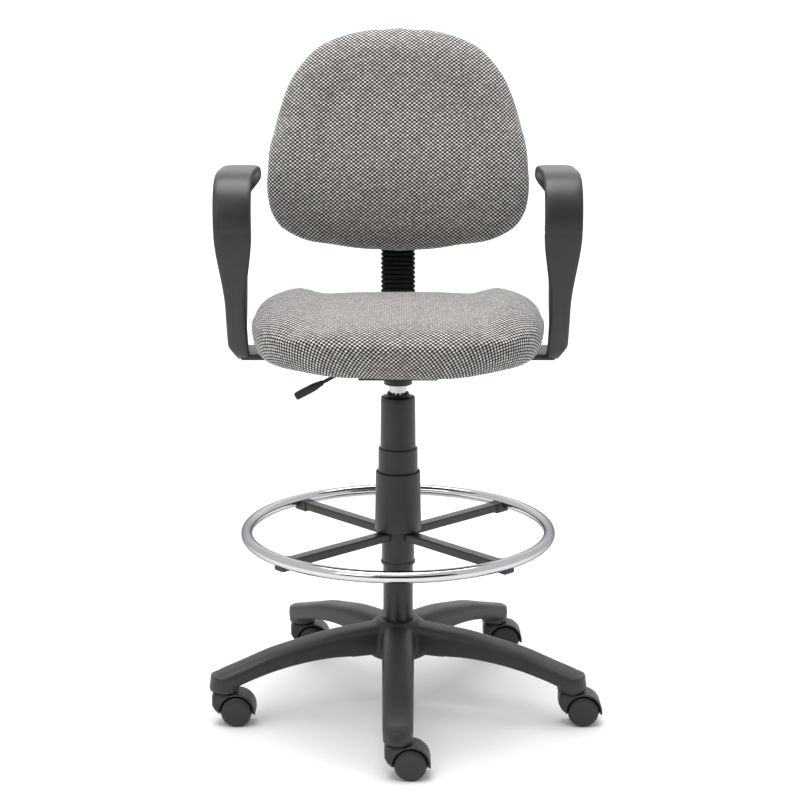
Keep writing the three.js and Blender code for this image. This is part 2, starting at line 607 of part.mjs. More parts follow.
// The three layers share these two rings of the outline, so their facets lie flat on each other.
const INNER = 0.55;
const BOARD_EDGE = 0.93;
const SHELL_EDGE = 0.965;
const BOARD_RINGS = [[0, 0], [INNER, 0], [BOARD_EDGE, 0], [BOARD_EDGE, 1], [INNER, 1], [0, 1]];
const SHELL_RINGS = [[0, 0], [INNER, 0], [BOARD_EDGE, 0], [SHELL_EDGE, 0], [BOARD_EDGE, 1], [INNER, 1], [0, 1]];
const CUSHION_RINGS = [[0, 1], [INNER, 1], [BOARD_EDGE, 1], [0.985, 0.85], [1, 0.6], [0.985, 0.34], [0.93, 0.12],
  [0.8, 0.02], [0.5, 0], [0.25, 0], [0, 0]];

// The bracket reaches from behind the bar to the rear shell, whose curve its front face follows.
function bracketShape() {
  const { halfW, halfH, rear } = BRACKET;
  const body = block(-halfW, halfW, -BACK_THICK, rear, -halfH, halfH);
  const boss = rod(12, rear - 1, rear + 8, 20).rotateX(-Math.PI / 2);
  const slot = block(-BAR_W / 2 - GAP, BAR_W / 2 + GAP, -BAR_T / 2 - GAP, BAR_T / 2 + GAP, -halfH - 5, halfH + 5);
  const screwHole = rod(4 + RUN, 0, 30, 16).rotateX(-Math.PI / 2);
  const bracket = alongBar(cut(fuse(body, boss), slot, screwHole), BRACKET.z);
  return cut(bracket, backLayer(BOARD_RINGS, -BACK_THICK, SHELL_REAR + GAP));
}

// ---------------------------------------------------------------- arms

// Middle line of the strap in the Y-Z plane, from the middle of the pad, round the front, and back.
const armLine = new THREE.CatmullRomCurve3([
  [0, ARM_TOP - 7], [-70, ARM_TOP - 10], [-104, ARM_TOP - 28], [-117, ARM_TOP - 62], [-112, ARM_TOP - 110],
  [-88, ARM_BOTTOM + 100], [-62, ARM_BOTTOM + 40], [-40, ARM_BOTTOM + 11], [0, ARM_BOTTOM + 7], [40, ARM_BOTTOM + 11],
  [64, ARM_BOTTOM + 40], [86, ARM_BOTTOM + 100], [106, ARM_TOP - 110], [116, ARM_TOP - 62], [106, ARM_TOP - 28],
  [72, ARM_TOP - 10],
].map(([y, z]) => new THREE.Vector3(0, y, z)), true);

function armShape(side) {
  const strap = surface((u, v) => {
    const along = (v % 1 + 1) % 1;
    const p = armLine.getPoint(along);
    const t = armLine.getTangent(along);
    const normal = new THREE.Vector3(0, t.z, -t.y);
    const widen = p.y < 0 ? smooth(p.z, ARM_BOTTOM + 90, ARM_BOTTOM + 215) : smooth(p.z, ARM_TOP - 70, ARM_TOP - 20);
    const rear = smooth(p.y, -30, 30) * (1 - smooth(p.z, ARM_TOP - 55, ARM_TOP - 15));
    const half = mix(mix(ARM_LEG_W, ARM_REAR_W, rear), ARM_PAD_W, widen) / 2;
    const [s, n] = rounded(u + 1 / 16, half, ARM_STRAP_T / 2, 4.5).toArray();
    return new THREE.Vector3(ARM_CENTRE + ARM_REAR_OUT * rear + s, p.y, p.z).addScaledVector(normal, n);
  }, 8, 34);
  const plate = boardBlank(1, 1, 0, 1);
  plate.scale((ARM_CENTRE - ARM_PLATE_REACH) / 2 + 8, ARM_FOOT_HALF, 10);
  plate.translate((ARM_CENTRE + ARM_PLATE_REACH) / 2 + 4, 0, ARM_BOTTOM + 1);
  const arm = fuse(strap, plate);
  return side > 0 ? arm : mirrored(arm);
}

// The same shape on the other side of the chair's middle plane.
function mirrored(geometry) {
  const flipped = geometry.clone().scale(-1, 1, 1);
  flipped.setIndex(Array.from(flipped.index.array).reverse());
  return flipped;
}

// ---------------------------------------------------------------- assembly

add(chair, 'five_star_base', baseShape(), nylon);
for (let i = 0; i < LEGS; i++) addCaster(i);

add(chair, 'column_tube', columnShape(), blackPaint);
add(chair, 'guide_bush', tube(COLUMN_R - COLUMN_WALL - GAP, CYLINDER_R + RUN, COLUMN_TOP - GUIDE_LENGTH,
  COLUMN_TOP + 1), acetal);
add(chair, 'thrust_bearing', tube(14, ROD_R + RUN, bearingZ, bearingZ + BEARING_H, 28), steel);
add(chair, 'rod_clip', tube(9, ROD_R + GAP, COLUMN_BOTTOM - 3, COLUMN_BOTTOM - GAP, 20), steel);
add(chair, 'piston_rod', pistonRodShape(), chrome);
add(chair, 'gas_cylinder', gasCylinderShape(), chrome);
add(chair, 'valve_button', rod(BUTTON_R, CYLINDER_TOP - 30, CYLINDER_TOP + BUTTON_STAND, 16), steel);
add(chair, 'cover_lower', coverShape(LOWER_R, LOWER_Z, COLUMN_R + GAP), blackPaint);
add(chair, 'cover_middle', coverShape(MIDDLE_R, MIDDLE_Z), blackPaint);
add(chair, 'cover_upper', coverShape(UPPER_R, UPPER_Z, CYLINDER_R + GAP, true), blackPaint);

add(chair, 'foot_ring', ringShape(RING_TUBE_R), chrome);
add(chair, 'ring_hub', ringHubShape(), blackPaint);
const saddle = ringSaddleShape();
for (let i = 0; i < SPOKES; i++) {
  add(chair, `ring_saddle_${i + 1}`, saddle(rad(SPOKE_TURN + (i * 360) / SPOKES)), nylon);
}
add(chair, 'ring_knob', starKnob(RING_KNOB_R, SLEEVE_R + 7, SLEEVE_R + 23, 4, COLUMN_R + RUN)
  .rotateX(-Math.PI / 2).translate(0, 0, RING_KNOB_Z), nylon);

add(chair, 'mechanism_housing', housingShape(), blackPaint);
add(chair, 'lever_pin', rod(2, -13, 13, 12).rotateX(Math.PI / 2).translate(PIVOT.x, 0, PIVOT.z), steel);
add(chair, 'lift_lever', leverShape(), blackPaint);
add(chair, 'lift_handle', paddleShape(), nylon);
add(chair, 'back_bar', backBarShape(), blackPaint);
add(chair, 'bellows', bellowsShape(), softRubber);
add(chair, 'depth_knob', starKnob(17, 0, 16, 4, -18).rotateX(Math.PI)
  .translate(0, HOUSING.back - 22, HOUSING.bottom - 10), nylon);

add(chair, 'seat_board', boardBlank(SEAT_HALF_W - BOARD_INSET, SEAT_HALF_D - BOARD_INSET, BOARD_BOTTOM,
  BOARD_BOTTOM + BOARD_T), plywood);
add(chair, 'seat_cushion', seatCushionShape(), tweed);

add(chair, 'back_cushion', backLayer(CUSHION_RINGS, -BACK_THICK, 0), tweed);
add(chair, 'back_board', backLayer(BOARD_RINGS, GAP, BACK_BOARD_T), plywood);
add(chair, 'back_shell', backLayer(SHELL_RINGS, SHELL_REAR - SHELL_T, SHELL_REAR), polypropylene);
add(chair, 'back_bracket', bracketShape(), blackPaint);
add(chair, 'height_knob', alongBar(starKnob(17, BRACKET.rear + 9, BRACKET.rear + 25, 4, BAR_T / 2 + GAP).rotateX(-Math.PI / 2), BRACKET.z), nylon);

add(chair, 'left_arm', armShape(-1), polypropylene);
add(chair, 'right_arm', armShape(1), polypropylene);

// The row's origin is the middle of the chair's footprint at floor level, to the nearest millimetre.
const box = new THREE.Box3().setFromObject(chair);
const middle = box.getCenter(new THREE.Vector3());
chair.position.set(-Math.round(middle.x), -Math.round(middle.y), 0);

export default chair;
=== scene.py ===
# %% [markdown]
# # A drafting chair
#
# This chair stands on five hooded casters and carries a chrome foot ring, a gas lift under a three-piece
# cover, a contoured seat and back in grey tweed, and two loop arms. Its mechanics come from a CAD model that
# never moves. Everything the eye meets is built here, in the same frame, so each piece lands where the
# mechanics say.

import bpy
import numpy as np
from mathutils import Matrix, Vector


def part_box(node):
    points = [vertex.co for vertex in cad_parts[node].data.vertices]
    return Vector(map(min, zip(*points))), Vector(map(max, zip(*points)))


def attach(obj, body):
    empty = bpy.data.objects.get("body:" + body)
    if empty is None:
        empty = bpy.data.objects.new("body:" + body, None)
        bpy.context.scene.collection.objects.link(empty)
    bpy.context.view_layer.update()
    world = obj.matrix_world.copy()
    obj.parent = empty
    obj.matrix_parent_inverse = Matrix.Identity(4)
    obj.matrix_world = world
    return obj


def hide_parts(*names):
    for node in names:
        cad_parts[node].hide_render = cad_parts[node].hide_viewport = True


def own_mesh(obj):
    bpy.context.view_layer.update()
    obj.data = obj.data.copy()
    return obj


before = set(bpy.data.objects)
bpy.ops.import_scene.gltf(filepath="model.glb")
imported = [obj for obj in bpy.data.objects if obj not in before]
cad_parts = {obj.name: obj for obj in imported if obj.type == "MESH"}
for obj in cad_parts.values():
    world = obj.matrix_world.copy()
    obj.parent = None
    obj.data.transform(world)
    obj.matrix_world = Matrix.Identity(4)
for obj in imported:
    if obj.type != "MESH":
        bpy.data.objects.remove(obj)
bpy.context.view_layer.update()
MM = 0.001
TURN = 2 * np.pi


# %% [markdown]
# Sizes are easier to read in millimetres, measured from the point on the floor under the column. The CAD
# column tells where that point is. The sitter faces -Y.

# %% Where the column stands
def middle(node):
    """The middle of a CAD node's box, in metres."""
    low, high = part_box(node)
    return (np.array(low) + np.array(high)) / 2


AXIS = middle("column_tube") * (1, 1, 0)
print("the column stands at", AXIS)


# %% [markdown]
# ## Surfaces from rings
#
# Nearly every moulded, turned or bent piece can be seen as a row of closed rings. A grid of ring points
# gives the four-sided faces directly, so a whole piece is a few array operations. The ends are closed with a
# fan of triangles, or the last ring is joined to the first, as in a hoop.

# %% Rings into a closed surface
def facing_out(points, quads, triangles):
    """Turns all the faces round when the volume they enclose, the sum of a.(b x c) over triangles, is negative."""
    corners = points[np.vstack([quads[:, [0, 1, 2]], quads[:, [0, 2, 3]], triangles])]
    volume = (corners[:, 0] * np.cross(corners[:, 1], corners[:, 2])).sum()
    if volume < 0:
        quads, triangles = quads[:, ::-1], triangles[:, ::-1]
    return points, quads, triangles


def skin(rings, ends="caps"):
    """Faces over rings[row, around] of points in millimetres. "caps" closes both ends, "loop" joins them."""
    rows, around = rings.shape[:2]
    index = np.arange(rows * around).reshape(rows, around)
    points = rings.reshape(-1, 3)
    triangles = np.zeros((0, 3), int)
    if ends == "caps":
        first, last, hub = index[0], index[-1], len(points)
        points = np.vstack([points, rings[0].mean(0), rings[-1].mean(0)])
        start = np.stack([np.roll(first, -1), first, np.full(around, hub)], 1)
        finish = np.stack([last, np.roll(last, -1), np.full(around, hub + 1)], 1)
        triangles = np.vstack([start, finish])
    else:
        index = np.vstack([index, index[:1]])
    beside = np.roll(index, -1, 1)
    quads = np.stack([index[:-1], beside[:-1], beside[1:], index[1:]], -1).reshape(-1, 4)
    return facing_out(points * MM + AXIS, quads, triangles)


def together(*surfaces):
    """Several closed surfaces as one, their point numbers shifted past those before."""
    shifts = np.cumsum([0] + [len(points) for points, _, _ in surfaces[:-1]])
    points = np.vstack([surface[0] for surface in surfaces])
    quads = np.vstack([surface[1] + shift for surface, shift in zip(surfaces, shifts)])
    triangles = np.vstack([surface[2] + shift for surface, shift in zip(surfaces, shifts)])
    return points, quads, triangles


def swung(surface, degrees):
    """The surface turned about the column."""
    t = np.radians(degrees)
    matrix = np.array([[np.cos(t), -np.sin(t), 0], [np.sin(t), np.cos(t), 0], [0, 0, 1]])
    return ((surface[0] - AXIS) @ matrix.T + AXIS, *surface[1:])


# %% [markdown]
# Two outlines come back again and again: a turned profile that goes round an axis, and a rounded rectangle.
# Real edges are never sharp, and a small round is what catches the light, so corners are filleted before
# they are turned or swept.

# %% Outlines
def filleted(corners, radius, steps=5, closed=False):
    """Each corner c becomes the curve (1-t)^2 a + 2t(1-t) c + t^2 b, where a and b lie radius to either side."""
    corners = np.asarray(corners, float)

    def towards(other):
        way = other - corners
        length = np.linalg.norm(way, axis=1, keepdims=True)
        return corners + way / length * np.minimum(radius, 0.45 * length)

    a, b = towards(np.roll(corners, 1, 0)), towards(np.roll(corners, -1, 0))
    t = np.linspace(0, 1, steps)[None, :, None]
    curves = (1 - t) ** 2 * a[:, None] + 2 * t * (1 - t) * corners[:, None] + t**2 * b[:, None]
    if closed:
        return curves.reshape(-1, 2)
    return np.vstack([corners[:1], curves[1:-1].reshape(-1, 2), corners[-1:]])


def turned(profile, around=96, ends="caps"):
    """Each profile point (r, z) goes round the column: x = r cos t, y = r sin t."""
    t = np.linspace(0, TURN, around, endpoint=False)
    r, z = np.asarray(profile, float).T[:, :, None]
    return skin(np.stack([r * np.cos(t), r * np.sin(t), z + 0 * t], -1), ends)


def tube(outer, inner, low, high, fillet=0.8, around=96):
    """A tube round the column, whose radii may differ at its low and high end."""
    (o0, o1), (i0, i1) = np.broadcast_to(outer, 2), np.broadcast_to(inner, 2)
    profile = filleted([(i0, low), (o0, low), (o1, high), (i1, high)], fillet, closed=True)
    return turned(profile, around, "loop")


def oval(around, squareness):
    """A superellipse: cos t and sin t, each to the power 2 / squareness. 2 is a circle, and more is squarer."""
    t = np.linspace(0, TURN, around, endpoint=False) + np.pi / around
    c, s = np.cos(t), np.sin(t)
    return np.stack([np.sign(c) * np.abs(c) ** (2 / squareness), np.sign(s) * np.abs(s) ** (2 / squareness)], -1)


def plate(half_wide, half_tall, fillet, steps=6):
    """A rectangle with rounded corners, as a ring of points."""
    corners = [(half_wide, -half_tall), (half_wide, half_tall), (-half_wide, half_tall), (-half_wide, -half_tall)]
    return filleted(corners, fillet, steps, closed=True)


def smooth_line(stops, count, closed=False):
    """count points, evenly spaced, on the curve that runs through the stops.

    Catmull-Rom: each span is a cubic whose slope at a stop is half the step between its neighbours.
    """
    stops = np.asarray(stops, float)
    if closed:
        padded = np.vstack([stops[-1:], stops, stops[:2]])
    else:
        padded = np.vstack([2 * stops[:1] - stops[1:2], stops, 2 * stops[-1:] - stops[-2:-1]])
    p0, p1, p2, p3 = padded[:-3, None], padded[1:-2, None], padded[2:-1, None], padded[3:, None]
    t = np.linspace(0, 1, 24, endpoint=False)[None, :, None]
    spans = p1 + 0.5 * t * (p2 - p0 + t * (2 * p0 - 5 * p1 + 4 * p2 - p3 + t * (3 * (p1 - p2) + p3 - p0)))
    dense = np.vstack([spans.reshape(-1, stops.shape[1]), padded[-2:-1]])
    walked = np.concatenate([[0], np.cumsum(np.linalg.norm(np.diff(dense, axis=0), axis=1))])
    marks = np.linspace(0, walked[-1], count, endpoint=not closed)
    return np.stack([np.interp(marks, walked, column) for column in dense.T], -1)


def carried(path, section, across, closed=False):
    """The section carried along a flat path: its first coordinate lies across, its second along the normal."""
    if closed:
        along = np.roll(path, -1, 0) - np.roll(path, 1, 0)
    else:
        along = np.gradient(path, axis=0)
    along /= np.linalg.norm(along, axis=1, keepdims=True)
    normal = np.cross(along, across)
    return path[:, None] + section[..., :1] * np.asarray(across) + section[..., 1:] * normal[:, None]


def ease(x, start, end):
    """0 before start and 1 after end, rising as 3t^2 - 2t^3 between them."""
    t = np.clip((x - start) / (end - start), 0, 1)
    return t * t * (3 - 2 * t)


# %% [markdown]
# ## Materials
#
# Each finish is a small set of shader nodes. Colours are written as the hex values a designer would read off
# a swatch, and one function turns them into the linear values that the shader works with. One more function
# adds any node. A Mix node has sockets for numbers, vectors and colours: its colours go in at places 6 and 7,
# and the blend comes out at 2.

# %% Colours and nodes
def linear(swatch):
    """An sRGB hex value as linear RGBA: c / 12.92 in the dark part, ((c + 0.055) / 1.055) ^ 2.4 above it."""
    c = np.array([int(swatch[i : i + 2], 16) for i in (1, 3, 5)]) / 255
    return (*np.where(c <= 0.04045, c / 12.92, ((c + 0.055) / 1.055) ** 2.4), 1)


def add_node(tree, kind, inputs=None, **settings):
    """Adds a shader node. Each input, by its name or place, is a value or the output of another node."""
    made = tree.nodes.new("ShaderNode" + kind)
    for name, value in settings.items():
        setattr(made, name, value)
    for name, value in (inputs or {}).items():
        if isinstance(value, bpy.types.NodeSocket):
            tree.links.new(value, made.inputs[name])
        else:
            made.inputs[name].default_value = value
    return made


def new_material(name):
    """An empty material, its node tree and its Principled shader."""
    material = bpy.data.materials.new(name)
    material.use_nodes = True
    tree = material.node_tree
    tree.nodes.clear()
    shader = add_node(tree, "BsdfPrincipled")
    add_node(tree, "OutputMaterial", {"Surface": shader.outputs[0]})
    return material, tree, shader


def grain(tree, size_mm, detail=2.0, stretch=(1, 1, 1)):
    """Noise whose lumps are size_mm across, fixed to the object. Values run from about 0.3 to 0.7."""
    place = add_node(tree, "TexCoord").outputs["Object"]
    mapping = add_node(tree, "Mapping", {"Vector": place, "Scale": stretch})
    return add_node(
        tree, "TexNoise", {"Vector": mapping.outputs[0], "Scale": 1 / (size_mm * MM), "Detail": detail}
    ).outputs[0]


# %% [markdown]
# The black parts are plastics and paint that differ mostly in their surface. Glass-filled nylon comes out of
# its mould with a fine matt grain, polypropylene is a little softer and greyer, and baked enamel is smooth
# with a faint orange peel. A broad, weak noise keeps each from looking like one flat number.

# %% Moulded and painted finishes
def moulded(name, swatch, worn, roughness, grain_mm, relief_mm, specular=0.5):
    """A moulded or painted surface: a base colour, a lighter worn tone in broad patches, and a fine grain."""
    material, tree, shader = new_material(name)
    patches = add_node(
        tree, "MapRange", {"Value": grain(tree, 60, 3), "From Min": 0.35, "From Max": 0.75}
    ).outputs[0]
    paint = add_node(tree, "Mix", {0: patches, 6: linear(swatch), 7: linear(worn)}, data_type="RGBA")
    tree.links.new(paint.outputs[2], shader.inputs["Base Color"])
    fine = grain(tree, grain_mm, 3)
    rough = add_node(
        tree,
        "MapRange",
        {"Value": fine, "From Min": 0.3, "From Max": 0.7, "To Min": roughness - 0.06, "To Max": roughness + 0.06},
    )
    tree.links.new(rough.outputs[0], shader.inputs["Roughness"])
    bump = add_node(tree, "Bump", {"Height": fine, "Distance": relief_mm * MM, "Strength": 0.6})
    tree.links.new(bump.outputs[0], shader.inputs["Normal"])
    shader.inputs["Specular IOR Level"].default_value = specular
    return material


nylon = moulded("glass filled nylon", "#232325", "#2A2A2C", 0.5, 0.9, 0.12)
wheel_nylon = moulded("wheel nylon", "#1F1F21", "#262628", 0.45, 1.2, 0.05)
polypropylene = moulded("arm polypropylene", "#262628", "#2E2E30", 0.42, 0.8, 0.08)
shell_plastic = moulded("shell polypropylene", "#232325", "#2A2A2C", 0.55, 1.4, 0.25)
cover_plastic = moulded("cover polystyrene", "#242426", "#2A2A2C", 0.44, 1.0, 0.06)
enamel = moulded("baked enamel", "#141415", "#1A1A1B", 0.36, 2.5, 0.05)
boot_rubber = moulded("boot rubber", "#101011", "#161617", 0.62, 1.2, 0.1, 0.35)
acetal = moulded("acetal", "#E6E2D8", "#EDEAE2", 0.45, 2.0, 0.03)


# %% [markdown]
# Metal keeps no colour of its own in shadow: it shows the room. The chrome is a bright, nearly smooth metal
# with a trace of haze from handling, and the specular tint darkens the edges of its tube. The ground steel of
# the bearing, pins and axles is duller.

# %% Metals
def metal(name, swatch, roughness, haze, grain_mm, rim="#FFFFFF"):
    """A bare metal whose roughness wanders by haze in lumps of grain_mm, tinted rim where it turns away."""
    material, tree, shader = new_material(name)
    wander = add_node(
        tree,
        "MapRange",
        {
            "Value": grain(tree, grain_mm, 4),
            "From Min": 0.3,
            "From Max": 0.7,
            "To Min": roughness,
            "To Max": roughness + haze,
        },
    ).outputs[0]
    tree.links.new(wander, shader.inputs["Roughness"])
    tone = add_node(tree, "Mix", {0: wander, 6: linear(swatch), 7: linear("#B8B8BC")}, data_type="RGBA")
    tree.links.new(tone.outputs[2], shader.inputs["Base Color"])
    shader.inputs["Metallic"].default_value = 1.0
    shader.inputs["Specular Tint"].default_value = linear(rim)
    return material


chrome = metal("chrome plate", "#CFCFD2", 0.09, 0.06, 25, rim="#87878B")
steel = metal("ground steel", "#A9A9AC", 0.3, 0.12, 4)


# %% [markdown]
# The boards under the cushions are plywood, stained black so that no edge shines out from under the tweed.
# Long grain still shows in the stain, and so do darker glue lines between the plies. The plies lie level in
# the seat board, so they are bands along the height.

# %% Plywood
def plywood_of(name, ply_mm):
    """Bands along Z, ply_mm apart, over a noise drawn out along X as wood grain."""
    material, tree, shader = new_material(name)
    place = add_node(tree, "TexCoord").outputs["Object"]
    height = add_node(tree, "SeparateXYZ", {0: place}).outputs[2]
    for operation, number in (("DIVIDE", ply_mm * MM), ("FRACT", 0), ("GREATER_THAN", 0.9)):
        height = add_node(tree, "Math", {0: height, 1: number}, operation=operation).outputs[0]
    streaks = grain(tree, 3, 4, (0.08, 1, 1))
    wood = add_node(tree, "Mix", {0: streaks, 6: linear("#2B2622"), 7: linear("#3D3630")}, data_type="RGBA")
    glued = add_node(tree, "Mix", {0: height, 6: wood.outputs[2], 7: linear("#1B1715")}, data_type="RGBA")
    tree.links.new(glued.outputs[2], shader.inputs["Base Color"])
    shader.inputs["Roughness"].default_value = 0.62
    bump = add_node(tree, "Bump", {"Height": streaks, "Distance": 0.1 * MM, "Strength": 0.5})
    tree.links.new(bump.outputs[0], shader.inputs["Normal"])
    return material


plywood = plywood_of("black-stained plywood", 1.7)


# %% [markdown]
# ## Tweed
#
# The cover is a woven tweed: pale grey slubs stand in rows on a near-black ground, each row half a step
# beside the last, so that the eye reads diagonals. The rows follow the cloth, not the room, so the pattern
# reads a pair of coordinates that were laid on the cushion before it was stuffed. Each slub is a small
# dome: the same dome colours it and lifts it in the bump.

# %% A woven tweed
SLUB = (7.8, 3.15)  # the step along a row, and from row to row, in millimetres
SLUB_HALF = (0.285, 0.5)  # half a slub's length and height, in shares of those steps
SLUB_POWER = 2.6  # 2 is an oval, and more is squarer
WOBBLE = (6.25, 1.2)  # how long and how strong the weave's unevenness is, in millimetres
FIBRES = 1.8  # fibres to the millimetre


def woven(name, coordinates):
    """Slubs on a ground, read from cloth coordinates.

    A row number is the whole part of the way up over the row step, and every second row is moved half a step.
    A slub is 1 - |u|^p - |v|^p where that is positive, in shares of its half sizes.
    """
    material, tree, shader = new_material(name)
    cloth = add_node(tree, "Attribute", attribute_name=coordinates).outputs["Vector"]
    lumps = {"Vector": cloth, "Scale": 1 / (WOBBLE[0] * MM), "Detail": 2.0}
    bent = add_node(tree, "TexNoise", lumps).outputs[1]
    bent = add_node(tree, "VectorMath", {0: bent, 1: (-0.5, -0.5, -0.5)}, operation="ADD").outputs[0]
    bent = add_node(tree, "VectorMath", {0: bent, "Scale": WOBBLE[1] * MM}, operation="SCALE").outputs[0]
    cloth = add_node(tree, "VectorMath", {0: cloth, 1: bent}, operation="ADD").outputs[0]
    axes = add_node(tree, "SeparateXYZ", {0: cloth})
    b = add_node(tree, "Math", {0: axes.outputs[1], 1: SLUB[1] * MM}, operation="DIVIDE").outputs[0]
    row = add_node(tree, "Math", {0: b}, operation="FLOOR").outputs[0]
    shift = row
    for operation, number in (("ADD", 1000.0), ("MODULO", 2.0), ("MULTIPLY", 0.5)):
        shift = add_node(tree, "Math", {0: shift, 1: number}, operation=operation).outputs[0]
    a = add_node(tree, "Math", {0: axes.outputs[0], 1: SLUB[0] * MM}, operation="DIVIDE").outputs[0]
    a = add_node(tree, "Math", {0: a, 1: shift}, operation="ADD").outputs[0]
    column = add_node(tree, "Math", {0: a}, operation="FLOOR").outputs[0]
    parts = []
    for part, half in ((a, SLUB_HALF[0]), (b, SLUB_HALF[1])):
        steps = (("FRACT", 0), ("SUBTRACT", 0.5), ("DIVIDE", half), ("ABSOLUTE", 0), ("POWER", SLUB_POWER))
        for operation, number in steps:
            part = add_node(tree, "Math", {0: part, 1: number}, operation=operation).outputs[0]
        parts.append(part)
    distance = add_node(tree, "Math", {0: parts[0], 1: parts[1]}, operation="ADD").outputs[0]
    dome = add_node(tree, "Math", {0: 1.0, 1: distance}, operation="SUBTRACT", use_clamp=True).outputs[0]
    cell = add_node(tree, "CombineXYZ", {0: column, 1: row}).outputs[0]
    lot = add_node(tree, "TexWhiteNoise", {"Vector": cell}, noise_dimensions="3D").outputs[0]
    fibre = add_node(tree, "TexNoise", {"Vector": cloth, "Scale": FIBRES / MM, "Detail": 2.0}).outputs[0]
    cover = add_node(
        tree, "MapRange", {"Value": dome, "From Min": 0.02, "From Max": 0.5}, interpolation_type="SMOOTHSTEP"
    ).outputs[0]
    fuzz = add_node(tree, "Math", {0: fibre, 1: 0.4}, operation="MULTIPLY").outputs[0]
    yarn = linear("#BDB9B7")
    ground = linear("#0C0B0C")
    for share, swatch in ((lot, "#EDEAE7"), (fuzz, "#989492")):
        yarn = add_node(tree, "Mix", {0: share, 6: yarn, 7: linear(swatch)}, data_type="RGBA").outputs[2]
    ground = add_node(tree, "Mix", {0: fibre, 6: ground, 7: linear("#2A2827")}, data_type="RGBA").outputs[2]
    weave = add_node(tree, "Mix", {0: cover, 6: ground, 7: yarn}, data_type="RGBA").outputs[2]
    tree.links.new(weave, shader.inputs["Base Color"])
    lift = add_node(tree, "Math", {0: dome}, operation="SQRT").outputs[0]
    nap = add_node(tree, "Math", {0: fibre, 1: 0.25}, operation="MULTIPLY").outputs[0]
    height = add_node(tree, "Math", {0: lift, 1: nap}, operation="ADD").outputs[0]
    bump = add_node(tree, "Bump", {"Height": height, "Distance": 0.7 * MM, "Strength": 0.7})
    tree.links.new(bump.outputs[0], shader.inputs["Normal"])
    shader.inputs["Roughness"].default_value = 0.95
    shader.inputs["Specular IOR Level"].default_value = 0.15
    shader.inputs["Sheen Weight"].default_value = 0.25
    shader.inputs["Sheen Roughness"].default_value = 0.5
    return material


tweed = woven("wool tweed", "cloth")
print("materials:", len(bpy.data.materials))


# %% [markdown]
# ## Pieces
#
# A finished piece is one mesh in its own place, riding on the body that moves it. The CAD nodes it stands
# for are hidden. Faces shade smoothly, except across edges sharper than a set angle, and weighting the normals
# by face size keeps flat faces flat right up to their fillets.

# %% Making a piece
CRISP = np.radians(38)


def shaded(mesh, crisp=CRISP):
    """Smooth shading with sharp edges kept."""
    mesh.shade_smooth()
    mesh.set_sharp_from_angle(angle=crisp)


def mesh_of(name, surface):
    """A mesh from a surface's points, quads and triangles."""
    points, quads, triangles = surface
    mesh = bpy.data.meshes.new(name)
    mesh.vertices.add(len(points))
    mesh.vertices.foreach_set("co", np.ascontiguousarray(points, np.float32).ravel())
    mesh.loops.add(quads.size + triangles.size)
    mesh.loops.foreach_set("vertex_index", np.concatenate([quads.ravel(), triangles.ravel()]).astype(np.int32))
    mesh.polygons.add(len(quads) + len(triangles))
    sizes = np.concatenate([np.full(len(quads), 4), np.full(len(triangles), 3)])
    mesh.polygons.foreach_set("loop_start", (np.cumsum(sizes) - sizes).astype(np.int32))
    mesh.update(calc_edges=True)
    mesh.validate()
    return mesh


def link(name, mesh):
    """A new object that holds the mesh."""
    made = bpy.data.objects.new(name, mesh)
    bpy.context.scene.collection.objects.link(made)
    return made


def applied(obj):
    """The object with its modifiers made part of its mesh."""
    bpy.context.view_layer.update()
    settled = bpy.data.meshes.new_from_object(obj.evaluated_get(bpy.context.evaluated_depsgraph_get()))
    obj.modifiers.clear()
    obj.data = settled
    return obj


def finished(obj, material, body, slot, *nodes, crisp=CRISP, weighted=True):
    """Gives a piece its finish and its body, and hides the CAD nodes it stands for."""
    obj.data.materials.clear()
    obj.data.materials.append(material)
    shaded(obj.data, crisp)
    if weighted:
        obj.modifiers.new("flat faces", "WEIGHTED_NORMAL").keep_sharp = True
    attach(obj, body)
    if nodes:
        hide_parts(*nodes)
    print(obj.name, len(obj.data.polygons), "faces")
    return obj


def piece(name, surface, material, body, slot, *nodes, **options):
    """A piece straight from its surface."""
    return finished(link(name, mesh_of(name, surface)), material, body, slot, *nodes, **options)


def melted(name, surface, voxel_mm, rounds):
    """Overlapping closed surfaces melted into one skin by a voxel remesh, then smoothed to soften the joins."""
    obj = link(name, mesh_of(name, surface))
    remesh = obj.modifiers.new("melt", "REMESH")
    remesh.mode, remesh.voxel_size = "VOXEL", voxel_mm * MM
    soften = obj.modifiers.new("soften", "SMOOTH")
    soften.factor, soften.iterations = 0.5, rounds
    return applied(obj)


def cut_by(obj, surface):
    """Takes a closed surface away from an object."""
    tool = link("tool", mesh_of("tool", surface))
    cut = obj.modifiers.new("cut", "BOOLEAN")
    cut.operation, cut.object, cut.solver = "DIFFERENCE", tool, "EXACT"
    applied(obj)
    bpy.data.objects.remove(tool)
    return obj


# %% [markdown]
# ## The five-star base
#
# One nylon moulding: five legs run out of a round hub, high at the hub and falling in a long curve to the
# caster sockets. Each leg is a row of rounded sections whose top and underside follow two curves. Five legs,
# five sockets and the hub overlap, and are then melted together at a few millimetres, which gives the soft
# joins of a moulding. The ribs' hollow is cut from below afterwards.

# %% Legs and hub
LEGS = 5
STEM_CIRCLE = 295
SOCKET_R = 23
SOCKET_LOW = 56
LEG_TOP = [(20, 145), (75, 140), (122, 135), (169, 126), (215, 116), (261, 101), (295, 90), (314, 80), (320, 66)]
LEG_UNDER = [(20, 92), (75, 92), (122, 94), (169, 91), (215, 83), (255, 72), (285, 62), (315, 59), (320, 59)]
LEG_START, LEG_TIP = 20, 320
leg_turns = -90 + 360 / LEGS * np.arange(LEGS)


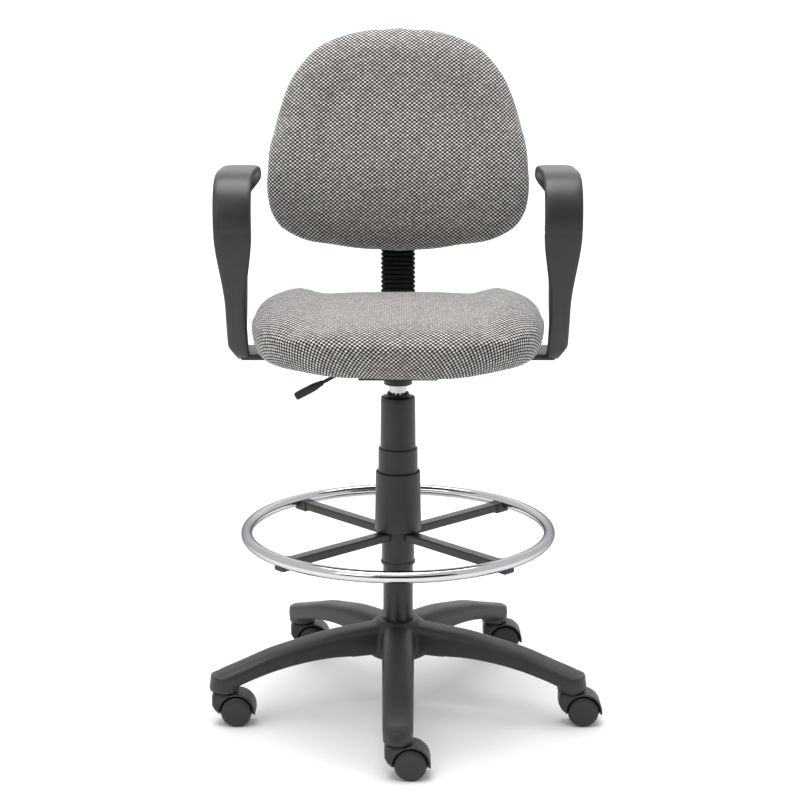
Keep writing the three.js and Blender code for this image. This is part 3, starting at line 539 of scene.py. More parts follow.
def leg_surface(inset, start, end, drop):
    """A leg along +X: at each reach, a rounded section between the underside and the top.

    The tip narrows as a half circle round the socket.
    """
    nose, tip = SOCKET_R + 0.5, end - STEM_CIRCLE
    reach = np.linspace(start, min(end, STEM_CIRCLE), 48)
    if end > STEM_CIRCLE:
        reach = np.concatenate([reach, STEM_CIRCLE + tip * np.sin(np.linspace(0.12, 1.5, 12))])
    top_line, under_line = smooth_line(LEG_TOP, 80), smooth_line(LEG_UNDER, 80)
    top = np.interp(reach, top_line[:, 0], top_line[:, 1]) - inset
    under = np.interp(reach, under_line[:, 0], under_line[:, 1]) - drop
    straight = np.interp(reach, [LEG_START, STEM_CIRCLE], [27, nose]) - inset
    past = (reach - STEM_CIRCLE) / max(tip, 1)
    half = np.where(past > 0, nose * np.sqrt(np.clip(1 - past**2, 0.002, None)), straight)
    ring = oval(40, 3.4)
    y = half[:, None] * ring[:, 0]
    z = ((top + under) / 2)[:, None] + ((top - under) / 2)[:, None] * ring[:, 1]
    return skin(np.stack([reach[:, None] + 0 * y, y, z], -1))


def shifted(surface, x=0, y=0, z=0):
    """The surface moved, in millimetres."""
    return (surface[0] + np.array([x, y, z]) * MM, *surface[1:])


hub = turned(filleted([(0, 88), (50, 88), (50, 126), (44, 139), (36, 145), (33, 148), (0, 148)], 3))
socket_line = [(0, SOCKET_LOW), (21.5, SOCKET_LOW), (SOCKET_R, 57.5), (SOCKET_R, 61), (22.4, 61.8), (SOCKET_R, 63),
               (SOCKET_R, 84), (0, 84)]
socket = shifted(turned(filleted(socket_line, 0.8)), STEM_CIRCLE)
legs = [swung(together(leg_surface(0, LEG_START, LEG_TIP, 0), socket), turn) for turn in leg_turns]
pockets = [swung(leg_surface(5, 84, 240, 34), turn) for turn in leg_turns]
base = melted("star_base", together(hub, *legs), 2.2, 5)
cut_by(base, together(*pockets))
finished(base, nylon, "base", "nylon", "five_star_base", weighted=False)


# %% [markdown]
# ## Casters
#
# Each caster is a hood with a wheel on either side of its middle web. Seen along the axle, the hood is an
# upright post that holds the stem, and a rim that arches over the wheels to a small lip. The rim is a
# section carried along an arc, the post a stack of rounded rectangles, and the web a disc.

# %% Hood and wheels
WHEEL_R = 25
TRAIL = 19  # from the stem to the axle
HOOD_HALF = 20
WEB_HALF = 6.4
RIM = (27.4, 30.5)  # inner and outer radius of the rim


def hood_surface():
    """Rim, post, web and the boss under the socket, about the stem at the origin."""
    t = np.radians(np.linspace(-7, 176, 64))
    middle_r = sum(RIM) / 2
    lip = 1 + 0.35 * ease(-np.degrees(t), 1, 7)
    arc = np.stack([TRAIL + middle_r * np.cos(t), 0 * t, WHEEL_R + middle_r * np.sin(t)], -1)
    section = plate(HOOD_HALF, (RIM[1] - RIM[0]) / 2, 1.4)[None] * np.stack([0 * t + 1, lip], -1)[:, None]
    rim = skin(carried(arc, section, (0, 1, 0)))
    z = np.concatenate([np.linspace(23, 36, 10), np.linspace(38, 51, 10), [52.5, 54, 55]])
    left = np.interp(z, [23, 29, 36, 51, 55], [-9, -16.6, -20.6, -20.6, -17])
    inner = TRAIL - np.sqrt(np.clip(RIM[0] ** 2 - (z - WHEEL_R) ** 2, 0, None))
    right = np.minimum(inner + 1.2, 14)
    ring = oval(48, 4.5)
    depth = HOOD_HALF - 0.4 * ease(z, 51, 55) * 6
    x = ((left + right) / 2)[:, None] + ((right - left) / 2)[:, None] * ring[:, 0]
    post = skin(np.stack([x, depth[:, None] * ring[:, 1], z[:, None] + 0 * x], -1))
    t = np.linspace(0, TURN, 64, endpoint=False)
    y = np.array([-WEB_HALF, WEB_HALF])[:, None]
    cheek = np.where(np.sin(t) < -0.3, 12, RIM[0] + 0.8)
    web = np.stack([TRAIL + cheek * np.cos(t) + 0 * y, y + 0 * t, WHEEL_R + cheek * np.sin(t) + 0 * y], -1)
    boss = turned(filleted([(0, 40), (10.5, 40), (10.5, 55.4), (0, 55.4)], 1), 40)
    return together(rim, post, skin(web), boss)


def wheel_surface(side):
    """A turned profile about the axle: a plain face, a rounded shoulder, and a tread."""
    face = 22.0
    outer = [(0, face), (19.8, face - 0.5), (23.6, face - 2.2), (WHEEL_R, face - 5.2)]
    profile = filleted([*outer, (WHEEL_R, 8.6), (24, 7.4), (3.4, 7.4), (0, 7.4)], 0.9, 4)
    t = np.linspace(0, TURN, 72, endpoint=False)
    r, a = profile.T[:, :, None]
    return skin(np.stack([TRAIL + r * np.cos(t), side * (a + 0 * t), WHEEL_R + r * np.sin(t)], -1))


hood_shape = melted("hood_shape", hood_surface(), 0.9, 2).data
for number, turn in enumerate(np.radians(leg_turns), start=1):
    at = AXIS + STEM_CIRCLE * MM * np.array([np.cos(turn), np.sin(turn), 0])
    hood = hood_shape.copy()
    hood.transform(Matrix.Translation(at - AXIS))
    caster = f"caster_{number}"
    finished(link(f"{caster}_hood_piece", hood), nylon, caster, "nylon", f"{caster}_hood", weighted=False)
    for side, word in ((-1, "front"), (1, "rear")):
        wheel = shifted(wheel_surface(side), *((at - AXIS) / MM))
        node = f"{caster}_wheel_{word}"
        piece(f"{node}_piece", wheel, wheel_nylon, node, "nylon", node)
bpy.data.objects.remove(bpy.data.objects["hood_shape"])


# %% [markdown]
# ## Column, gas lift and cover
#
# All of these are turned. The steel column sits in the hub's taper, the chromed cylinder slides in it, and
# three plastic sleeves hide the space between, each stepping inside the one below. The top sleeve ends in a
# ring of small fingers that grip the cylinder.

# %% Turned pieces
piece("column", tube((24.4, 25), 23, 84, 394), enamel, "base", "black_enamel", "column_tube")
cylinder_line = [(5.4, 104), (13, 104), (14, 106), (14, 580), (11, 583), (3.5, 583), (3.5, 543), (12.3, 541),
                 (12.3, 112), (5.4, 112)]
cylinder = turned(filleted(cylinder_line, 0.6, closed=True), 64, "loop")
piece("lift_cylinder", cylinder, chrome, "seat", "chrome", "gas_cylinder")
lower = tube((38, 36.4), (35.6, 34.2), 302.4, 400, 1.2)
piece("lower_sleeve", lower, cover_plastic, "base", "cover_plastic", "cover_lower")
between = tube((33, 32), (31, 30), 308, 439, 1.2)
piece("middle_sleeve", between, cover_plastic, "cover_middle", "cover_plastic", "cover_middle")
upper_line = [(27.6, 358), (29.8, 358), (28, 518), (27.2, 524), (19, 525), (18.6, 528), (14.6, 528), (14.6, 521),
              (25.8, 520)]
upper = turned(filleted(upper_line, 0.9, closed=True), 96, "loop")


def fingers(count, radii, low, high, share):
    """Short blocks round the cylinder: each spans share of its step of the turn."""
    step = TURN / count
    t = (np.linspace(-0.5, 0.5, 6) * share * step)[:, None]
    ring = filleted([(radii[0], low), (radii[1], low), (radii[1] - 1, high), (radii[0], high)], 0.5, closed=True)
    block = np.stack([ring[:, 0] * np.cos(t), ring[:, 0] * np.sin(t), ring[:, 1] + 0 * t], -1)
    return [swung(skin(block), 360 / count * i) for i in range(count)]


upper = together(upper, *fingers(12, (14.5, 18.2), 527, 531.5, 0.62))
piece("upper_sleeve", upper, cover_plastic, "seat", "cover_plastic", "cover_upper")


# %% [markdown]
# ## Foot ring
#
# The ring is a chromed steel tube bent to a hoop, cradled by four caps on the ends of flat spokes. A torus
# gives the hoop exactly: R + r cos v round the circle u, and r sin v up.

# %% The hoop
RING_Z, RING_R, RING_TUBE = 300, 247.5, 9.5
u = np.linspace(0, TURN, 256, endpoint=False)[:, None]
v = np.linspace(0, TURN, 36, endpoint=False)[None]


def hoop(tube_r):
    """The torus of the foot ring, with a tube of that radius."""
    reach = RING_R + tube_r * np.cos(v)
    return skin(np.stack([reach * np.cos(u), reach * np.sin(u), RING_Z + tube_r * np.sin(v) + 0 * u], -1), "loop")


piece("chrome_hoop", hoop(RING_TUBE), chrome, "ring", "chrome", "foot_ring", weighted=False)


# %% [markdown]
# The hub is a sleeve that slides on the column, clamped by a knob behind. Its spokes are bars with rounded
# edges. The caps are blocks with the hoop's own round cut out of them.

# %% Hub, spokes and caps
SPOKE_TURN = 43
SPOKE_TOP = 301
SPOKE_W, SPOKE_H, SPOKE_END = 20, 14, 233.5
spoke_turns = SPOKE_TURN + 90 * np.arange(4)


def beam(start, end, half_wide, half_tall, height, fillet):
    """A bar along +X, its ends drawn in by a small round."""
    x = np.array([start, start + 0.4, start + 1.4, end - 1.4, end - 0.4, end])
    draw_in = np.array([1.2, 0.4, 0, 0, 0.4, 1.2])
    ring = plate(half_wide, half_tall, fillet)
    scale = 1 - draw_in[:, None] / np.array([half_wide, half_tall])
    section = ring[None] * scale[:, None]
    return skin(np.stack([x[:, None] + 0 * section[..., 0], section[..., 0], height + section[..., 1]], -1))


def spoke(start, room=0):
    """A spoke along +X, grown by room on its sides and end."""
    return beam(start, SPOKE_END + room, SPOKE_W / 2 + room, SPOKE_H / 2 + room, SPOKE_TOP - SPOKE_H / 2, 2.5)


sleeve = tube(26.9, 25.4, 244, 302, 1.5)
collar = tube(28.6, 26, 244, 249, 1)
spokes = [swung(spoke(25.8), turn) for turn in spoke_turns]
boss = turned(filleted([(4.4, 26), (9, 26), (9, 33), (4.4, 33)], 0.8, closed=True), 48, "loop")


def laid_back(surface, height):
    """A surface about the column's axis laid over: its axis then points away from the sitter at that height."""
    x, y, z = ((surface[0] - AXIS) / MM).T
    return facing_out(np.stack([x, z, height - y], -1) * MM + AXIS, *surface[1:])


KNOB_Z = 260
ring_hub = together(sleeve, collar, laid_back(boss, KNOB_Z), *spokes)
piece("ring_spokes", ring_hub, enamel, "ring", "black_enamel", "ring_hub")
cap_block = beam(224.5, 252, 11.5, 9, 293, 4)
for number, turn in enumerate(spoke_turns, start=1):
    cap = link(f"ring_cap_{number}", mesh_of("cap", swung(cap_block, turn)))
    cut_by(cut_by(cap, hoop(RING_TUBE + 0.5)), swung(spoke(0, 0.3), turn))
    finished(cap, nylon, "ring", "nylon", f"ring_saddle_{number}")


# %% [markdown]
# ## Knobs
#
# The three clamp knobs are alike: a five-lobed grip on a threaded rod. The grip's radius waves as
# 0.9 + 0.1 cos 5t, so that fingers find a hold.

# %% Star knobs
def knob_surface(radius, low, high, screw_r, screw_end):
    """A lobed grip between two heights about Z, with rounded rims, and its screw."""
    t = np.linspace(0, TURN, 120, endpoint=False)
    edge = radius * (0.9 + 0.1 * np.cos(5 * t))
    share = np.array([0.05, 0.86, 0.96, 1, 1, 0.96, 0.86, 0.62, 0.56, 0.05])
    rise = np.array([0, 0, 0.05, 0.16, 0.84, 0.95, 1, 1, 0.93, 0.93])
    height = low + (high - low) * rise
    reach = share[:, None] * edge
    grip = np.stack([reach * np.cos(t), reach * np.sin(t), height[:, None] + 0 * t], -1)
    screw = turned(filleted([(0, screw_end), (screw_r, screw_end), (screw_r, low + 1), (0, low + 1)], 0.5), 32)
    return together(skin(grip), screw)


ring_knob = laid_back(knob_surface(16, 33.9, 49.9, 4, 25.6), KNOB_Z)
piece("ring_clamp_knob", ring_knob, nylon, "ring_knob", "nylon", "ring_knob")

# %% [markdown]
# ## Under the seat
#
# The mechanism is a pressed steel tray with a socket for the cylinder. Its shape in the CAD model is right
# but its edges are sharp, so a copy is merged, its flat faces are joined up, and a bevel breaks the edges.

# %% Softened edges
def softened(name, node, bevel_mm, material, body, slot):
    """A copy of a CAD node with its flat faces joined and its edges bevelled."""
    copy = link(name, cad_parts[node].data.copy())
    weld = copy.modifiers.new("weld", "WELD")
    weld.merge_threshold = 0.02 * MM
    flat = copy.modifiers.new("flat", "DECIMATE")
    flat.decimate_type, flat.angle_limit = "DISSOLVE", np.radians(2)
    bevel = copy.modifiers.new("bevel", "BEVEL")
    bevel.width, bevel.segments = bevel_mm * MM, 2
    bevel.limit_method, bevel.angle_limit = "ANGLE", np.radians(40)
    return finished(applied(copy), material, body, slot, node)


softened("lift_mechanism", "mechanism_housing", 0.7, enamel, "seat", "black_enamel")
piece("lift_socket", tube(23.3, 14.4, 544.6, 566, 1.2), enamel, "seat", "black_enamel")


# %% [markdown]
# The lift lever is a thin rod that slopes down from its pivot to a plastic paddle. The paddle's section
# swells from a narrow neck and stays square to the rod.

# %% Lever and paddle
PIVOT = np.array([-40.0, 0, 590])
SLOPE = np.radians(28)


def down_the_slope(rings):
    """Rings about Z whose Z runs down the lever from its pivot."""
    x, y, z = np.moveaxis(rings, -1, 0)
    out = np.array([-np.cos(SLOPE), 0, -np.sin(SLOPE)])
    down = np.array([np.sin(SLOPE), 0, -np.cos(SLOPE)])
    return PIVOT + z[..., None] * out + y[..., None] * np.array([0, 1.0, 0]) + x[..., None] * down


t = np.linspace(0, TURN, 32, endpoint=False)
along = np.array([0, 0.5, 118.5, 119])[:, None]
rod_r = np.array([2.4, 3, 3, 2.4])[:, None]
rod = np.stack([rod_r * np.cos(t), rod_r * np.sin(t), along + 0 * t], -1)
tongue = beam(-43, 6, 4, 2.8, 592.3, 0.8)
eye = turned(filleted([(2.4, -5), (5, -5), (5, 5), (2.4, 5)], 0.6, closed=True), 40, "loop")
eye = shifted(laid_back(eye, 590), PIVOT[0])
piece("lever_rod", together(skin(down_the_slope(rod)), tongue, eye), enamel, "lever", "black_enamel", "lift_lever")

run = np.array([0, 0.6, 2, 7, 13, 18, 30, 44, 47, 49, 50])
swell = np.array([0.5, 0.62, 0.68, 0.74, 0.92, 0.99, 1, 1, 0.98, 0.9, 0.78])
grip = oval(48, 4.2)
PADDLE_HALF, PADDLE_START = (6.4, 7.4), 92
wide = swell[:, None] * PADDLE_HALF[0] * grip[:, 0]
tall = swell[:, None] * PADDLE_HALF[1] * grip[:, 1]
rings = np.stack([wide, tall, PADDLE_START + run[:, None] + 0 * grip[:, 0]], -1)
piece("lever_paddle", skin(down_the_slope(rings)), nylon, "lever", "nylon", "lift_handle")


# %% [markdown]
# ## Back bar and boot
#
# A flat steel bar leaves the mechanism level, bends up in one round curve and leans away from the sitter.
# It wears a ribbed rubber boot. The boot is a stack of rounded rectangles whose size waves with the height.

# %% The bar
LEAN = np.radians(8)
BAR_BACK, BAR_Z = 242, 578
UP = np.array([0, np.sin(LEAN), np.cos(LEAN)])
AWAY = np.array([0, np.cos(LEAN), -np.sin(LEAN)])
corner = np.array([0, BAR_BACK, BAR_Z])
bend = np.linspace(0, 1, 16)[:, None]
before, after = corner - [0, 34, 0], corner + 34 * UP
curve = (1 - bend) ** 2 * before + 2 * bend * (1 - bend) * corner + bend**2 * after
line = np.vstack([[[0, 42, BAR_Z]], [[0, 120, BAR_Z]], curve, [corner + 160 * UP], [corner + 294 * UP]])
piece("back_steel", skin(carried(line, plate(22, 4, 1.2), (1, 0, 0))), enamel, "back_bar", "black_enamel", "back_bar")


def on_bar(rings, height):
    """Rings about Z set on the bar at a height: their Z runs up the bar and their Y away from the sitter."""
    at = np.array([0, BAR_BACK + (height - BAR_Z) * np.tan(LEAN), height])
    x, y, z = np.moveaxis(rings, -1, 0)
    return at + x[..., None] * np.array([1.0, 0, 0]) + y[..., None] * AWAY + z[..., None] * UP


# %% The boot
RIBS, PITCH, BOOT_LOW = 16, 7.9, 622
rib = np.linspace(0, RIBS, RIBS * 10 + 1)
wave = np.abs(np.sin(np.pi * rib)) ** 0.55
inset = 3.4 * (1 - wave)
ring = oval(72, 5)
half_x, half_y = (30 - inset)[:, None], (15 - inset)[:, None]
boot = np.stack([half_x * ring[:, 0], half_y * ring[:, 1], (rib * PITCH)[:, None] + 0 * ring[:, 0]], -1)
boot_piece = piece("ribbed_boot", skin(on_bar(boot, BOOT_LOW)), boot_rubber, "back_bar", "rubber", "bellows",
                   crisp=np.radians(70), weighted=False)
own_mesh(boot_piece)

# %% [markdown]
# Two knobs set the back. One under the mechanism clamps the bar's depth, so it is made upright and turned
# over. One behind the slide clamps the height, so it is laid back square to the leaning bar.

# %% The back's two knobs and its slide
under_knob = knob_surface(17, 0, 16, 4, -18)
flipped = facing_out((under_knob[0] - AXIS) * (1, 1, -1) + AXIS, *under_knob[1:])
piece("depth_clamp_knob", shifted(flipped, 0, 110, 556), nylon, "depth_knob", "nylon", "depth_knob")
softened("back_slide", "back_bracket", 1.5, nylon, "back", "nylon")
star = knob_surface(17, 18, 34, 4, 4.3)
x, y, z = ((star[0] - AXIS) / MM).T
star = facing_out(on_bar(np.stack([x, z, -y], -1), 800) * MM + AXIS, *star[1:])
piece("height_clamp_knob", star, nylon, "height_knob", "nylon", "height_knob")


# %% [markdown]
# ## Loop arms
#
# Each arm is a closed loop: a broad pad on top, which turns down at the front and narrows into a leg, runs
# under the seat and comes up again at the back. A rounded section is carried once round the loop, and its
# width changes with the height. A fine groove across the front shows where the soft pad meets the leg.

# %% A loop arm
ARM_TOP, ARM_LOW, ARM_CENTRE = 892, 590, 251
PAD_W, LEG_W, REAR_W, REAR_OUT = 58, 32, 26, 9
ARM_STOPS = [
    (0, ARM_TOP - 7), (-70, ARM_TOP - 10), (-104, ARM_TOP - 28), (-117, ARM_TOP - 62), (-112, ARM_TOP - 110),
    (-88, ARM_LOW + 100), (-62, ARM_LOW + 40), (-40, ARM_LOW + 11), (0, ARM_LOW + 7), (40, ARM_LOW + 11),
    (64, ARM_LOW + 40), (86, ARM_LOW + 100), (106, ARM_TOP - 110), (116, ARM_TOP - 62), (106, ARM_TOP - 28),
    (72, ARM_TOP - 10),
]
SEAM_Z = 802


def arm_surface(side):
    """A rounded rectangle carried round the loop, wide on the pad and narrower on the legs.

    The rear leg is set out, and a narrow bell thins the section at the seam.
    """
    path = smooth_line([(0, y, z) for y, z in ARM_STOPS], 300, closed=True)
    y, z = path[:, 1], path[:, 2]
    front = ease(z, ARM_LOW + 90, ARM_LOW + 215)
    rear = ease(z, ARM_TOP - 70, ARM_TOP - 20)
    share = ease(y, -30, 30)
    behind = share * (1 - ease(z, ARM_TOP - 55, ARM_TOP - 15))
    slim = LEG_W + (REAR_W - LEG_W) * behind
    curl = 6 * (1 - ease(z, ARM_LOW + 6, ARM_LOW + 32))
    half = (slim + (PAD_W - slim) * (front * (1 - share) + rear * share)) / 2 - curl
    groove = 0.7 * np.exp(-(((z - SEAM_Z) / 1.3) ** 2)) * (y < 0)
    ring = oval(56, 4)
    thick = 7 - groove
    section = np.stack([(half - groove)[:, None] * ring[:, 0], thick[:, None] * ring[:, 1]], -1)
    loop = carried(path, section, (1, 0, 0), closed=True)
    loop[..., 0] += (ARM_CENTRE + REAR_OUT * behind - curl)[:, None]
    foot = beam(150, ARM_CENTRE - 3, 44, 5, ARM_LOW + 6, 4)
    points, quads, triangles = together(skin(loop, "loop"), foot)
    return facing_out((points - AXIS) * (side, 1, 1) + AXIS, quads, triangles)


for side, word in ((-1, "left"), (1, "right")):
    piece(f"{word}_loop_arm", arm_surface(side), polypropylene, "seat", "polypropylene", f"{word}_arm")


# %% [markdown]
# ## Cushions
#
# Seat and back are contoured foam under stretched tweed. Each starts as a smooth shape a little smaller than
# the finished cushion, is pumped up as cloth, and is then held close to the foam, which leaves the small
# swellings of real upholstery.
#
# A grid that runs to a pole wrinkles when it is simulated, so the shape is laid on the six faces of a cube
# pushed out to a ball. Every point of the ball has a heading, which picks a direction across the cushion,
# and a fall from the top, which walks it out over the top, down the side and back under.

# %% A ball without poles
def cube_ball(cells):
    """Points and quads of a cube of cells x cells x 6 faces pushed out to radius 1. tan evens the cells out."""
    ticks = np.tan(np.linspace(-1, 1, cells + 1) * np.pi / 4)
    a, b = np.meshgrid(ticks, ticks, indexing="ij")
    one = np.ones_like(a)
    sides = [(one, a, b), (-one, b, a), (b, one, a), (a, -one, b), (a, b, one), (b, a, -one)]
    points = np.concatenate([np.stack(side, -1).reshape(-1, 3) for side in sides])
    points /= np.linalg.norm(points, axis=1, keepdims=True)
    index = np.arange((cells + 1) ** 2).reshape(cells + 1, cells + 1)
    quad = np.stack([index[:-1, :-1], index[1:, :-1], index[1:, 1:], index[:-1, 1:]], -1).reshape(-1, 4)
    quads = np.concatenate([quad + k * (cells + 1) ** 2 for k in range(6)])
    _, first, same = np.unique(np.round(points, 6), axis=0, return_index=True, return_inverse=True)
    return points[first], same.reshape(-1)[quads]


def cushion_point(heading, fall, reach, edge, levels, height):
    """Where a ball point goes, as fall runs from 0 to 1.

    It goes out over the top, round the edge as two quarter ovals, and back under. reach(heading) is the
    outline's radius. edge is the width of the upper and the lower rounding, and how much narrower the upper one
    is in front. levels(x, y) is the widest level and the underside, and height(x, y) the top.
    """
    over, under = 0.4, 0.64
    rim = reach(heading)
    turn = np.pi * np.clip((fall - over) / (under - over), 0, 1)
    upper = edge[0] - edge[2] * ease(-np.sin(heading), 0.35, 0.9)
    round_w = np.where(turn < np.pi / 2, upper, edge[1])
    straight = np.where(fall < 0.5, np.clip(fall / over, 0, 1), np.clip((1 - fall) / (1 - under), 0, 1))
    out = (rim - round_w) * straight + round_w * np.sin(turn)
    x, y = out * np.cos(heading), out * np.sin(heading)
    waist, low = levels(x, y)
    top = height(x, y)
    z = waist + np.where(turn < np.pi / 2, top - waist, waist - low) * np.cos(turn)
    return np.stack([x, y, z], -1)


def cushion(cells, **shape):
    """Points, quads, cloth coordinates and fall.

    The cloth coordinates are the heading times the way walked over the surface from the middle of the top.
    """
    ball, quads = cube_ball(cells)
    heading = np.arctan2(ball[:, 1], ball[:, 0])
    fall = np.arccos(np.clip(ball[:, 2], -1, 1)) / np.pi
    steps = np.linspace(0, 1, 40)[:, None] * fall
    walk = cushion_point(np.broadcast_to(heading, steps.shape), steps, **shape)
    walked = np.linalg.norm(np.diff(walk, axis=0), axis=-1).sum(0)
    cloth = np.stack([walked * np.cos(heading), walked * np.sin(heading), 0 * walked], -1)
    return walk[-1], quads, cloth, fall


# %% [markdown]
# The simulation is the usual one for padding: pressure inside, no gravity, a few frames, and then each
# point's movement is held to a cap so that the foam's shape stays. Points on the underside don't move,
# because they are stapled to the board.

# %% Pumped up as cloth
FRAMES = 20


def pumped(obj, held, cap_mm, pressure=4.0):
    """Runs the cloth and moves each point towards where it went.

    A move m becomes m * cap / (cap + |m|), so that no point goes further than the cap.
    """
    start = np.empty(len(obj.data.vertices) * 3, np.float32)
    obj.data.vertices.foreach_get("co", start)
    start = start.reshape(-1, 3)
    group = obj.vertex_groups.new(name="stapled")
    group.add(np.flatnonzero(held).tolist(), 1.0, "REPLACE")
    cloth = obj.modifiers.new("cloth", "CLOTH")
    settings = cloth.settings
    settings.quality, settings.mass = 5, 0.3
    settings.tension_stiffness = settings.compression_stiffness = settings.shear_stiffness = 15
    settings.bending_stiffness = 2
    settings.use_pressure, settings.uniform_pressure_force = True, pressure
    settings.vertex_group_mass = "stapled"
    settings.effector_weights.gravity = 0
    cloth.point_cache.frame_start, cloth.point_cache.frame_end = 1, FRAMES
    scene = bpy.context.scene
    for number in range(1, FRAMES + 1):
        scene.frame_set(number)
    evaluated = obj.evaluated_get(bpy.context.evaluated_depsgraph_get())
    end = np.empty_like(start).ravel()
    evaluated.data.vertices.foreach_get("co", end)
    moved = end.reshape(-1, 3) - start
    length = np.linalg.norm(moved, axis=1, keepdims=True)
    obj.modifiers.clear()
    scene.frame_set(1)
    settled = start + moved * (cap_mm * MM) / (cap_mm * MM + length)
    obj.data.vertices.foreach_set("co", settled.astype(np.float32).ravel())
    obj.data.update()
    kept = np.linalg.norm(settled - start, axis=1)
    print(obj.name, "swelled by", round(float(length.max() / MM), 1), "mm, kept", round(float(kept.max() / MM), 1))
    return obj


def upholstered(name, points, quads, cloth, held, cap_mm, body, node):
    """A cushion from its foam shape: pumped, finished and finely divided."""
    obj = link(name, mesh_of(name, facing_out(points * MM + AXIS, quads, np.zeros((0, 3), int))))
    laid = obj.data.attributes.new("cloth", "FLOAT_VECTOR", "POINT")
    laid.data.foreach_set("vector", (cloth * MM).astype(np.float32).ravel())
    pumped(obj, held, cap_mm)
    finished(obj, tweed, body, "tweed", node, crisp=np.pi, weighted=False)
    finer = obj.modifiers.new("finer", "SUBSURF")
    finer.levels = finer.render_levels = 1
    return obj


# %% [markdown]
# The seat's top is nearly flat with a raised bolster along each side, and its front rolls down in a
# waterfall so that it doesn't press behind the knees.

# %% The seat
SEAT_HALF = (232.5, 211.5)
SEAT_TOP, BOLSTER = 664.5, 15
BOARD_LOW = 602.8


def seat_reach(heading):
    """A superellipse of power 3: 1 / (|cos / a|^3 + |sin / b|^3)^(1/3)."""
    a, b = SEAT_HALF
    return (np.abs(np.cos(heading) / a) ** 3 + np.abs(np.sin(heading) / b) ** 3) ** (-1 / 3)


def seat_height(x, y):
    """A plane with a rise at each side that starts behind the front edge, less a fall towards the front."""
    side = ease(np.abs(x), 118, 172) * ease(y, -190, -60)
    return SEAT_TOP + BOLSTER * side * (1 - 0.2 * ease(y, 120, 214)) - 8 * ease(-y, 130, 212)


def seat_levels(x, y):
    """The widest level, and the underside.

    The underside lies inside the board's edge and rolls under it outside, least over the arms' feet.
    """
    front = ease(-y, 60, 190)
    share = np.hypot(x, y) / seat_reach(np.arctan2(y, x))
    roll = ease(share, 0.86, 0.93) * (0.15 + 0.85 * ease(np.abs(y), 48, 85))
    side = ease(np.abs(x), 80, 170)
    return 640 - 4 * front + 7 * side, BOARD_LOW + 5 - (12 + 5 * front - 6 * side) * roll


points, quads, cloth, fall = cushion(44, reach=seat_reach, edge=(66, 20, 26), levels=seat_levels, height=seat_height)
upholstered("seat_cover", points, quads, cloth, fall > 0.66, 7, "seat", "seat_cushion")


# %% [markdown]
# The back is as wide as the seat at its lower third and closes to a broad arch on top. Its sides wrap
# forward, its lower part swells into the small of the back, and two shallow bracket-shaped hollows set the
# middle off from the sides. It is worked out lying flat, bowed, leaned back and put in place.

# %% The back
BACK_FOOT = np.array([0, 212, 726])
BACK_LENGTH, BACK_HALF, BACK_THICK = 384, 221, 56
BACK_STOPS = [(0, 0), (0.27, 0.01), (0.5, 0.03), (0.71, 0.055), (0.88, 0.105), (0.95, 0.155), (0.985, 0.21),
              (1, 0.29), (0.995, 0.37), (0.98, 0.47), (0.935, 0.58), (0.875, 0.69), (0.79, 0.79), (0.635, 0.895), (0.46, 0.95),
              (0.24, 0.987), (0, 1)]
half_outline = smooth_line(BACK_STOPS, 120) * (BACK_HALF, BACK_LENGTH) - (0, BACK_LENGTH / 2)
back_headings = np.arctan2(half_outline[:, 1], half_outline[:, 0])
back_radii = np.linalg.norm(half_outline, axis=1)


def back_reach(heading, inset=0.0):
    """The outline's radius at a heading, read off its right half, for both sides."""
    folded = np.arctan2(np.sin(heading), np.abs(np.cos(heading)))
    return np.interp(folded, back_headings, back_radii) - inset


def back_bow(x, w):
    """How far the sides wrap forward, 30 (x / half width)^2, and the swelling low down, a bell 12 mm high."""
    return 30 * (x / BACK_HALF) ** 2 + 12 * np.exp(-(((w + 70) / 90) ** 2))


def stood_up(x, depth, w):
    """From across, depth behind the middle surface, and up the back, to the leaning back in place."""
    y = depth - back_bow(x, w)
    centre = BACK_FOOT + BACK_LENGTH / 2 * UP
    return centre + np.stack([x, 0 * x, 0 * x], -1) + y[..., None] * AWAY + w[..., None] * UP


HOLLOW_DEPTH, HOLLOW_WIDTH = 4.5, 13
COVER_INSET, SHELL_INSET = 1.5, 5


def hollows(x, w):
    """Two shallow valleys shaped like a pair of brackets, deepest at the middle of their height."""
    bracket = 122 - 26 * ((w + 8) / 95) ** 2
    valley = np.exp(-(((np.abs(x) - bracket) / HOLLOW_WIDTH) ** 2))
    return HOLLOW_DEPTH * valley * ease(110 - np.abs(w + 8), 0, 45)


points, quads, cloth, fall = cushion(
    44,
    reach=lambda heading: back_reach(heading, COVER_INSET),
    edge=(40, 16, 0),
    levels=lambda x, w: (20 + 0 * x, 0 * x),
    height=lambda x, w: BACK_THICK - 5 - 9 * (np.hypot(x, w) / 200) ** 2 - hollows(x, w),
)
points = stood_up(points[:, 0], -points[:, 2], points[:, 1])
upholstered("back_cover", points, quads, cloth, fall > 0.66, 6, "back", "back_cushion")


# %% [markdown]
# A thin moulded shell closes the back from behind. Its rim turns forward round the board to meet the cover.

